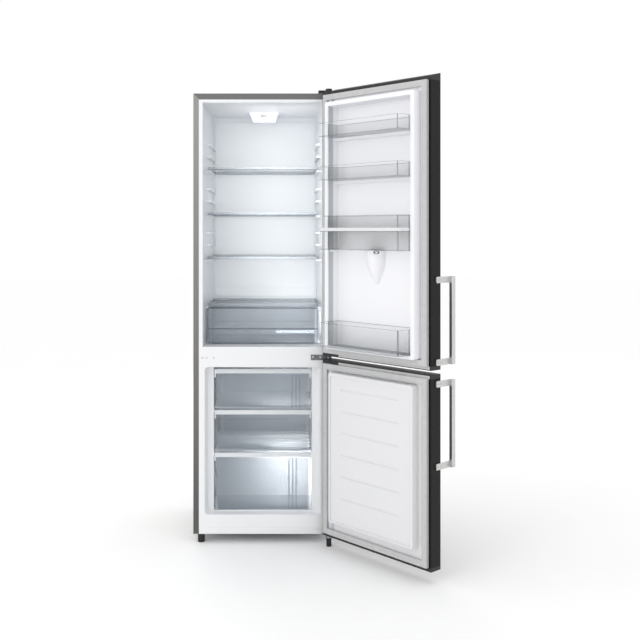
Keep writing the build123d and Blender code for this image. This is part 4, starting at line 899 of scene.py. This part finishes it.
# %% Plugs and lamp marks
plugs = []
for x in (-238.4, -222.5, -193.9):
    plug = rod("plug", (x, -245.55, 737.0), 4.0, 0.9, "Y", 24)
    pick(plug, "FACE", lambda f: f.normal.y < -0.9)
    bpy.ops.mesh.inset(thickness=1.6 * mm)
    bpy.ops.transform.translate(value=(0, -0.35 * mm, 0))
    leave()
    stem = rod("stem", (x, -242.1, 737.0), 2.4, 6.0, "Y", 16)
    round_edges(stem, 0.6, 2, lambda e: middle(e).y > -239.5)
    plugs += [soften(plug, 0.15, 2), stem]
fit(join("blanking_plugs", *plugs), pale_plastic, "cabinet", ["beam_plugs"])

mark_grey, tree, shader, place = material("grey_pad_print", "#8f9499", IOR=1.5)
ink = grain(tree, place, 0.8 * mm)
tone(tree, shader, ink, "#868b90", "#9a9fa3")
gloss(tree, shader, ink, 0.4, 0.55)
marks = []
for x, size in ((-13.5, 1.7), (1.0, 0.9), (15.5, 1.7)):
    mark = rod("mark", (x, -10.05, 1718.9), size, 0.3, "Y", 16)
    recess(mark, 0.5, (0, 0.1, 0), lambda f: f.normal.y < -0.9)
    marks.append(mark)
fit(join("lamp_marks", *marks), mark_grey, "cabinet")

# %% [markdown]
# ## Water tank, its lid and its flap
# The tank hangs in the door over the valve. It is a clear box of its own. Its lid is a second
# box turned up at the rim as a guard for cans, with a white band in front, and a small filling
# flap hinges on two lugs. The flap has a rounded front corner and a raised finger ridge.

# %% Water tank
tank = door_box("tank", door_boxes["water_tank"], 88, 8)
neck = rod("neck", (0, inner_face - 8, 1165.3), 9.0, 11.0, "Z", 32)
recess(neck, 2, (0, 0, 8), lambda f: f.normal.z < -0.9)
tank = join("tank_shell", tank, soften(neck, 0.4, 2))
fit(tank, tank_clear, "water_tank", ["water_tank"], True)

# %% Tank lid
lid_parts = [door_box("guard", door_boxes["tank_lid"], 90, 8)]
for x in ((-50, -46), (2, 6)):
    lug = slab("lug", x, (inner_face + 4.8, inner_face + 8.2), (1242.0, 1246.1))
    round_edges(lug, 1, 3, lambda e: middle(e).z > 1246 and abs(extent(e).x) > 3)
    lid_parts.append(soften(lug, 0.3, 1))
fit(join("lid_shell", *lid_parts), tank_clear, "tank_lid", ["tank_lid"], True)

lid_white = clear_plastic("frosted_lid_band", "#eceff1", "#f7f8f9", 0.7)
lid_band = tub("lid_band", (-206.2, 206.2), (inner_face + 20, inner_face + 90.8),
               (1240.2, 1252.8), 0.7, 0, 8.5, 4, room_side)
pick(lid_band, "FACE", lambda f: abs(f.normal.z) > 0.9 and f.calc_area() > 0.01)
bpy.ops.mesh.delete(type="FACE")
leave()
pick(lid_band, "VERT", lambda v: v.co.y < (inner_face + 30) * mm)
bpy.ops.transform.translate(value=(0, 15 * mm, 0))
leave()
fit(lid_band, lid_white, "tank_lid", (), True)

# %% Filling flap
flap = slab("flap", (-51.6, 7.6), (inner_face + 8.4, inner_face + 57.6), (1240.3, 1242.2))
round_edges(flap, 8, 5, lambda e: abs(extent(e).z) > 1 and middle(e).y > inner_face + 50)
recess(flap, 2.5, (0, 0, -0.7), lambda f: f.normal.z > 0.9)
strap = slab("strap", (-40, -4), (inner_face + 6.5, inner_face + 11.5), (1242.0, 1244.4))
round_edges(strap, 1.5, 3, lambda e: middle(e).z > 1244 and middle(e).y > inner_face + 11)
hub = rod("hub", (-22, inner_face + 6.5, 1244.6), 2.0, 36, "X", 20)
pick(hub, "FACE", lambda f: abs(f.normal.x) > 0.9)
bpy.ops.mesh.inset(thickness=0.6 * mm, use_individual=True)
leave()
ridge = slab("ridge", (-34, -10), (inner_face + 50, inner_face + 53), (1241.8, 1243.6))
round_edges(ridge, 1, 3, lambda e: middle(e).z > 1243)
flap = join("filling_flap", soften(flap, 0.4, 2), soften(strap, 0.2, 1), soften(hub, 0.2, 1), ridge)
fit(flap, lid_white, "tank_flap", ["tank_flap"], True)

# %% [markdown]
# ## Kick plate, feet and rollers
# The kick plate clips under the freezer liner, and the rounded edge along its top makes the thin
# line over it. The left foot is a moulded pad with grip ribs round it. Rear rollers are black
# wheels with a recessed web on each side.

# %% Kick plate
kick = slab("kick", (-253, 253), (-245, -229), (37.0, 63.0))
recess(kick, 2, (0, -13.5, 0), lambda f: f.normal.y > 0.9)
round_edges(kick, 1.6, 4, lambda e: middle(e).y < -244.5 and middle(e).z > 62)
fit(soften(kick, 0.5, 2), liner_white, "cabinet", ["kick_plate"])


# %% Feet
thread = 2.5  # drawn pitch of the stem's grooves


def levelling_foot(name, x, y, top, radius, ribs, stem_top, rounding):
    """Pad with grip ribs, and the threaded stem over it."""
    pad = rod("pad", (x, y, top / 2), radius - 1.0, top, "Z", 4 * ribs)

    def on_rib(face):
        """True of every second face round the pad."""
        centre = face.calc_center_median()
        turn = math.degrees(math.atan2(centre.y - y * mm, centre.x - x * mm))
        return abs(face.normal.z) < 0.2 and int(turn // (90 / ribs)) % 2 == 0

    pick(pad, "FACE", on_rib)
    bpy.ops.mesh.extrude_region_shrink_fatten(TRANSFORM_OT_shrink_fatten={"value": 0.8 * mm})
    leave()
    round_edges(pad, rounding, 4, lambda e: middle(e).z > top - 0.1)
    stem = rod("stem", (x, y, (top - 1 + stem_top) / 2), 3.9, stem_top - top + 1, "Z", 24)
    for turn in range(int((stem_top - top) / thread)):
        bpy.ops.object.mode_set(mode="EDIT")
        bpy.ops.mesh.select_all(action="SELECT")
        level = top + thread / 2 + thread * turn
        bpy.ops.mesh.bisect(plane_co=(0, 0, level * mm), plane_no=(0, 0, 1))
        bpy.ops.transform.resize(value=(0.9, 0.9, 1), center_override=(x * mm, y * mm, 0))
        leave()
    activate(pad, stem)
    bpy.ops.object.shade_smooth_by_angle(angle=math.radians(30))
    return join(name, pad, stem)


feet = {"left": (-245, -220, 36.6, 14.0, 10, 53.0, 1.2),
        "right": (262, -278.2, 31.6, 10.0, 8, 37.4, 3.5)}
for side, sizes in feet.items():
    fit(levelling_foot(f"{side}_levelling_foot", *sizes), black_plastic,
        f"{side}_foot", [f"{side}_foot"])


# %% Rollers
def roller(name, x):
    """Wheel with a recessed web on each side and a bored hub."""
    wheel = rod(name, (x, 215, 16), 16.0, 20.0, "X", 48)
    pick(wheel, "FACE", lambda f: abs(f.normal.x) > 0.9)
    bpy.ops.mesh.inset(thickness=3.5 * mm, use_individual=True)
    for side in (-1, 1):
        leave()
        pick(wheel, "FACE", lambda f: f.normal.x * side > 0.9 and f.calc_area() > 0.0003)
        bpy.ops.mesh.extrude_region_move(TRANSFORM_OT_translate={"value": (-side * 4 * mm, 0, 0)})
        bpy.ops.mesh.inset(thickness=6.5 * mm)
        bpy.ops.mesh.extrude_region_move(TRANSFORM_OT_translate={"value": (side * 3.6 * mm, 0, 0)})
        bpy.ops.mesh.inset(thickness=2.6 * mm)
    leave()
    pick(wheel, "FACE", lambda f: abs(f.normal.x) > 0.9 and f.calc_area() < 0.00006
         and len(f.verts) > 20)
    bpy.ops.mesh.bridge_edge_loops()
    leave()
    return soften(wheel, 0.8, 2, 50)


for name, x in (("left_roller", -215), ("right_roller", 215)):
    fit(roller(f"{name}_wheel", x), black_plastic, name, [name])

# %% [markdown]
# ## The rear
# The rear panel is thin galvanised sheet, so it is pressed with shallow upright beads that keep
# it from drumming, and screwed all round. The evaporation tray sits on the compressor's warm
# top, where the melt water dries off.

# %% Rear panel
panel = slab("panel", (-274.4, 274.4), (244.4, 245.0), (272.0, 1786.4))
beads = []
for x in (-160, -55, 55, 160):
    bead = slab("bead", (x - 9, x + 9), (244.8, 247.4), (420, 1640))
    pick(bead, "FACE", lambda f: f.normal.y > 0.9)
    bpy.ops.transform.resize(value=(0.45, 1, 0.99), center_override=(x * mm, 0, 1030 * mm))
    leave()
    beads.append(soften(bead, 1.2, 3, 20))
heads = [pan_head("screw", (x, 245.0, z), (0, 1, 0))
         for x in (-262, 0, 262) for z in (290, 780, 1270, 1770)]
fit(join("pressed_rear_panel", panel, *beads), zinc, "cabinet", ["rear_panel"])
fit(join("rear_screws", *heads), screw_zinc, "cabinet")

# %% Evaporation tray
tray = tub("tray", (-155, 35), (84, 208), (204.0, 232.0), 2.0, 3, 12, 5)
spout = rod("spout", (-60, 100, 210), 7.0, 9, "Z", 24)
recess(spout, 2, (0, 0, -4), lambda f: f.normal.z > 0.9)
tray = join("drip_tray", tray, soften(spout, 0.4, 2))
fit(tray, black_plastic, "cabinet", ["evaporation_tray"])

# %% [markdown]
# ## Details of the two liners
# The fridge's rear wall is a pressed pad with a rounded outline. The door liner bulges over the
# dispenser's valve, and the bulge is drawn from a cylinder cut at several heights, with each
# level pulled in, then halved at the liner. A rubber ring marks the valve in its top.

# %% Rear pad
pad = slab("pad", (-221, 221), (183.6, 186.4), (952, 1721))
round_edges(pad, 16, 7, lambda e: abs(extent(e).y) > 2)
recess(pad, 4, (0, 1.6, 0), lambda f: f.normal.y < -0.9)
fit(soften(pad, 0.7, 2), liner_white, "cabinet")

# %% Valve bulge
floor_y, bulge_radius = inner_face - 20, 43.6
bulge_profile = ((1150, 43.4), (1125, 41.5), (1100, 36.5), (1078, 29), (1060, 20), (1048, 12),
                 (1042.5, 5))
bulge = rod("bulge", (0, floor_y, 1105.5), bulge_radius, 127, "Z", 64)
for level, radius in bulge_profile:
    pick(bulge, "FACE", lambda f: True)
    if level > 1043:
        bpy.ops.mesh.bisect(plane_co=(0, 0, level * mm), plane_no=(0, 0, 1))
    leave()
    pick(bulge, "VERT", lambda v: abs(v.co.z - level * mm) < 1 * mm)
    ratio = radius / bulge_radius
    bpy.ops.transform.resize(value=(ratio, ratio, 1), center_override=(0, floor_y * mm, 0))
    leave()
pick(bulge, "FACE", lambda f: True)
bpy.ops.mesh.bisect(plane_co=(0, (floor_y - 1) * mm, 0), plane_no=(0, 1, 0),
                    clear_inner=True, use_fill=True)
leave()
fit(soften(bulge, 2.0, 3, 50), door_white, "upper_door", (), True)
ring = rod("valve_ring", (0, floor_y + 43.4, 1161.5), 11.0, 2.4, "Y", 40)
recess(ring, 3, (0, -1.5, 0), lambda f: f.normal.y > 0.9)
pick(ring, "VERT", lambda v: True)
bpy.ops.transform.resize(value=(1, 1, 0.5), center_override=(0, 0, 1161.5 * mm))
leave()
pivot = Matrix.Translation((0, floor_y * mm, 0))
ring.data.transform(pivot @ Matrix.Rotation(math.radians(38), 4, "Z") @ pivot.inverted())
fit(soften(ring, 0.4, 2), grommet, "upper_door", (), True)

# %% [markdown]
# ## Edges of the door liners
# A door liner's flange runs on under the seal to the end of the door, where the end cap clamps
# it. It shows as a pale strip between seal and cap, and is cut from thin sheet with a rolled edge.

# %% Liner flanges
for door, low, high in (("upper", 754.5, 765.5), ("lower", 722.0, 732.5)):
    y = (inner_face - 0.2, inner_face + 0.9)
    strip = slab(f"{door}_flange", (-268, 186), y, (low, high))
    round_edges(strip, 0.7, 3, lambda e: middle(e).y > inner_face and abs(extent(e).x) > 10)
    fit(soften(strip, 0.2, 1), vinyl, f"{door}_door", (), True)
